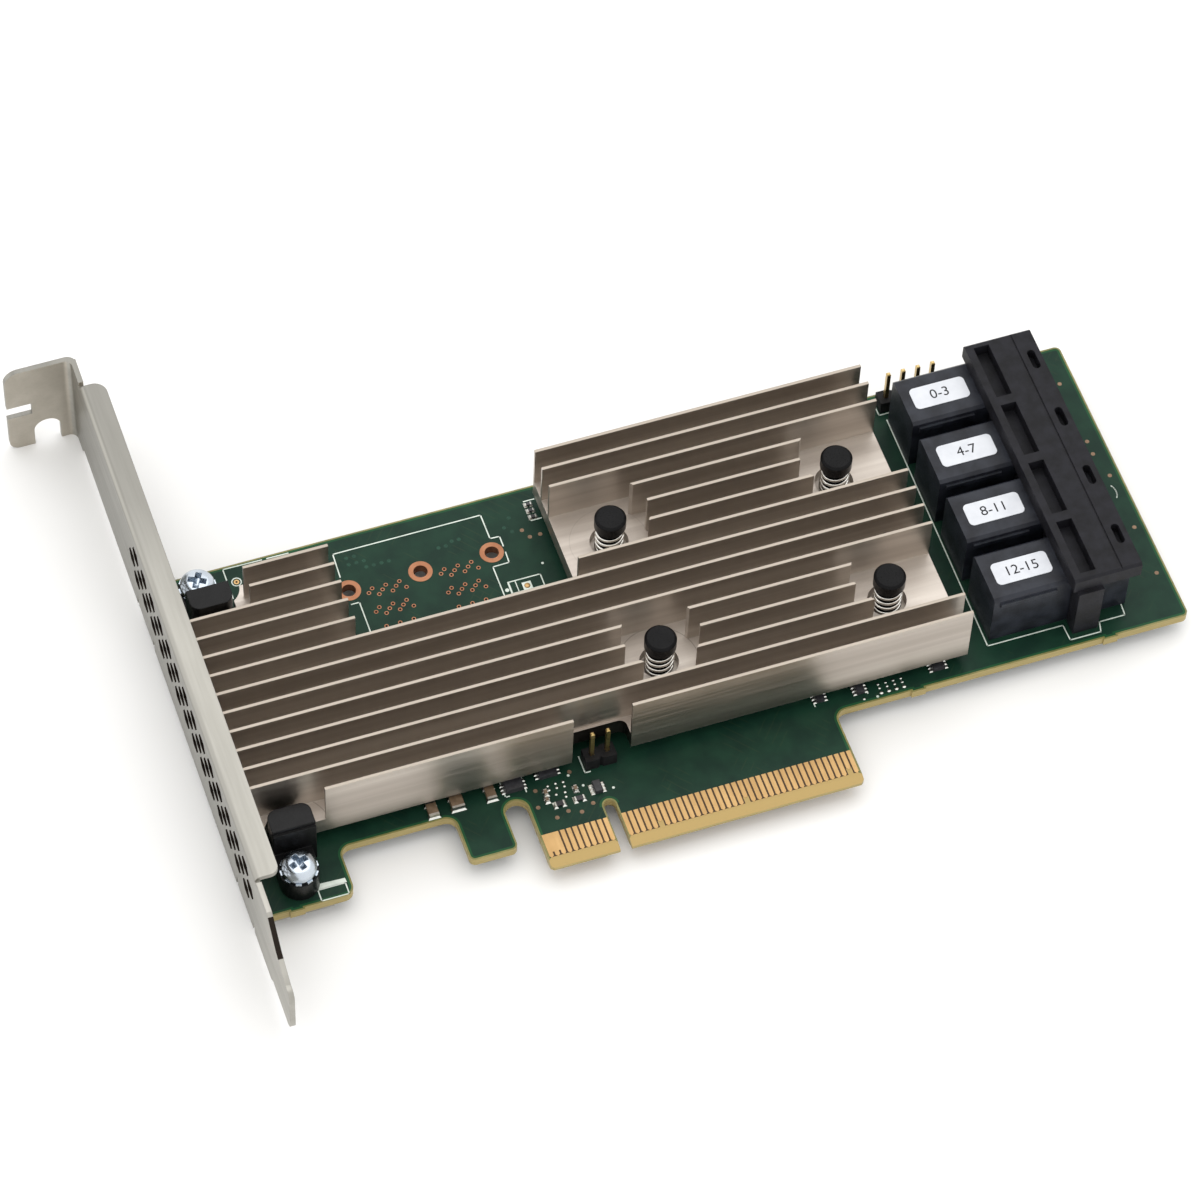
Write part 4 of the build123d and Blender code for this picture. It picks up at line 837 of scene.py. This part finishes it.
# Port labels: white coated paper with rounded corners, a little glossy, stuck to the housings and
# printed in black toner with plain port numbers.
LABEL_TOP = 11.1
LABEL_X = 73.15
NUMBER_SIZE = 2.5
NUMBER_T = 0.008
NUMBER_LIFT = 0.006
LABEL_Y = (58.75, 46.85, 34.95, 23.05)
label_paper = layered("coated_label_paper", "#c9ccd2", "#d3d6db", 0.5, 0.3, 0.0015, IOR=1.48)
toner = layered("printed_toner", "#1a1a1e", "#232327", 0.5, 0.1, 0.001, Specular_IOR_Level=0.2)
dress(label_paper, "port_labels")
for number, (y, text) in enumerate(zip(LABEL_Y, ("0-3", "4-7", "8-11", "12-15")), 1):
    letters = bpy.data.curves.new(f"port_{number}_text", "FONT")
    letters.body = text
    letters.size = NUMBER_SIZE * MM
    letters.align_x = "CENTER"
    letters.align_y = "CENTER"
    letters.extrude = NUMBER_T * MM
    sample = bpy.data.objects.new(f"port_{number}_sample", letters)
    printed = bpy.data.meshes.new_from_object(sample)
    bpy.data.objects.remove(sample)
    place = Matrix.Translation((LABEL_X * MM, y * MM, (LABEL_TOP + NUMBER_LIFT) * MM))
    printed.transform(place)
    printed.materials.clear()
    printed.materials.append(toner)
    port_number = bpy.data.objects.new(f"port_{number}_number", printed)
    bpy.context.scene.collection.objects.link(port_number)
    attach(port_number, "root")

# Studio: a pale seamless floor under the card, one wide soft light above and behind it, and an
# even pale surround. The camera stands before the card's left end and looks down on it.
FLOOR_Z = -4.4
FLOOR_HALF = 3
floor_mesh = bpy.data.meshes.new("studio_floor")
floor_mesh.from_pydata(
    [
        (x * FLOOR_HALF, y * FLOOR_HALF, FLOOR_Z * MM)
        for x, y in ((-1, -1), (1, -1), (1, 1), (-1, 1))
    ],
    [],
    [(0, 1, 2, 3)],
)
floor_mesh.materials.append(
    layered("matt_backdrop_paper", "#ededec", "#efefee", 0.8, 8.0, 0.001, IOR=1.3)
)
floor = bpy.data.objects.new("studio_floor", floor_mesh)
bpy.context.scene.collection.objects.link(floor)

softbox = bpy.data.lights.new("softbox", "AREA")
softbox.shape = "RECTANGLE"
softbox.size = 1.3
softbox.size_y = 1.1
softbox.energy = 4
softbox_stand = bpy.data.objects.new("softbox", softbox)
tilt = Matrix.Rotation(-0.22, 4, "X")
softbox_stand.matrix_world = Matrix.Translation((0.15, 0.3, 1.1)) @ tilt
bpy.context.scene.collection.objects.link(softbox_stand)

surround = bpy.data.worlds.new("surround")
surround.use_nodes = True
surround.node_tree.nodes["Background"].inputs[0].default_value = linear("#f1f0ef")
surround.node_tree.nodes["Background"].inputs[1].default_value = 1.43
bpy.context.scene.world = surround

bpy.context.scene.view_settings.view_transform = "Standard"

camera = bpy.data.cameras.new("camera")
camera.lens = 159.507
camera.sensor_width = 36
camera.shift_x = 0.1475
camera.shift_y = -0.0283
camera.clip_start = 0.01
camera_stand = bpy.data.objects.new("camera", camera)
camera_stand.matrix_world = Matrix(
    (
        (0.95147199, 0.25336657, -0.17466093, -0.161705),
        (-0.30773057, 0.78652882, -0.53541976, -0.394262),
        (0.00171839, 0.56318541, 0.82632877, 0.700043),
        (0, 0, 0, 1),
    )
)
bpy.context.scene.collection.objects.link(camera_stand)
bpy.context.scene.camera = camera_stand
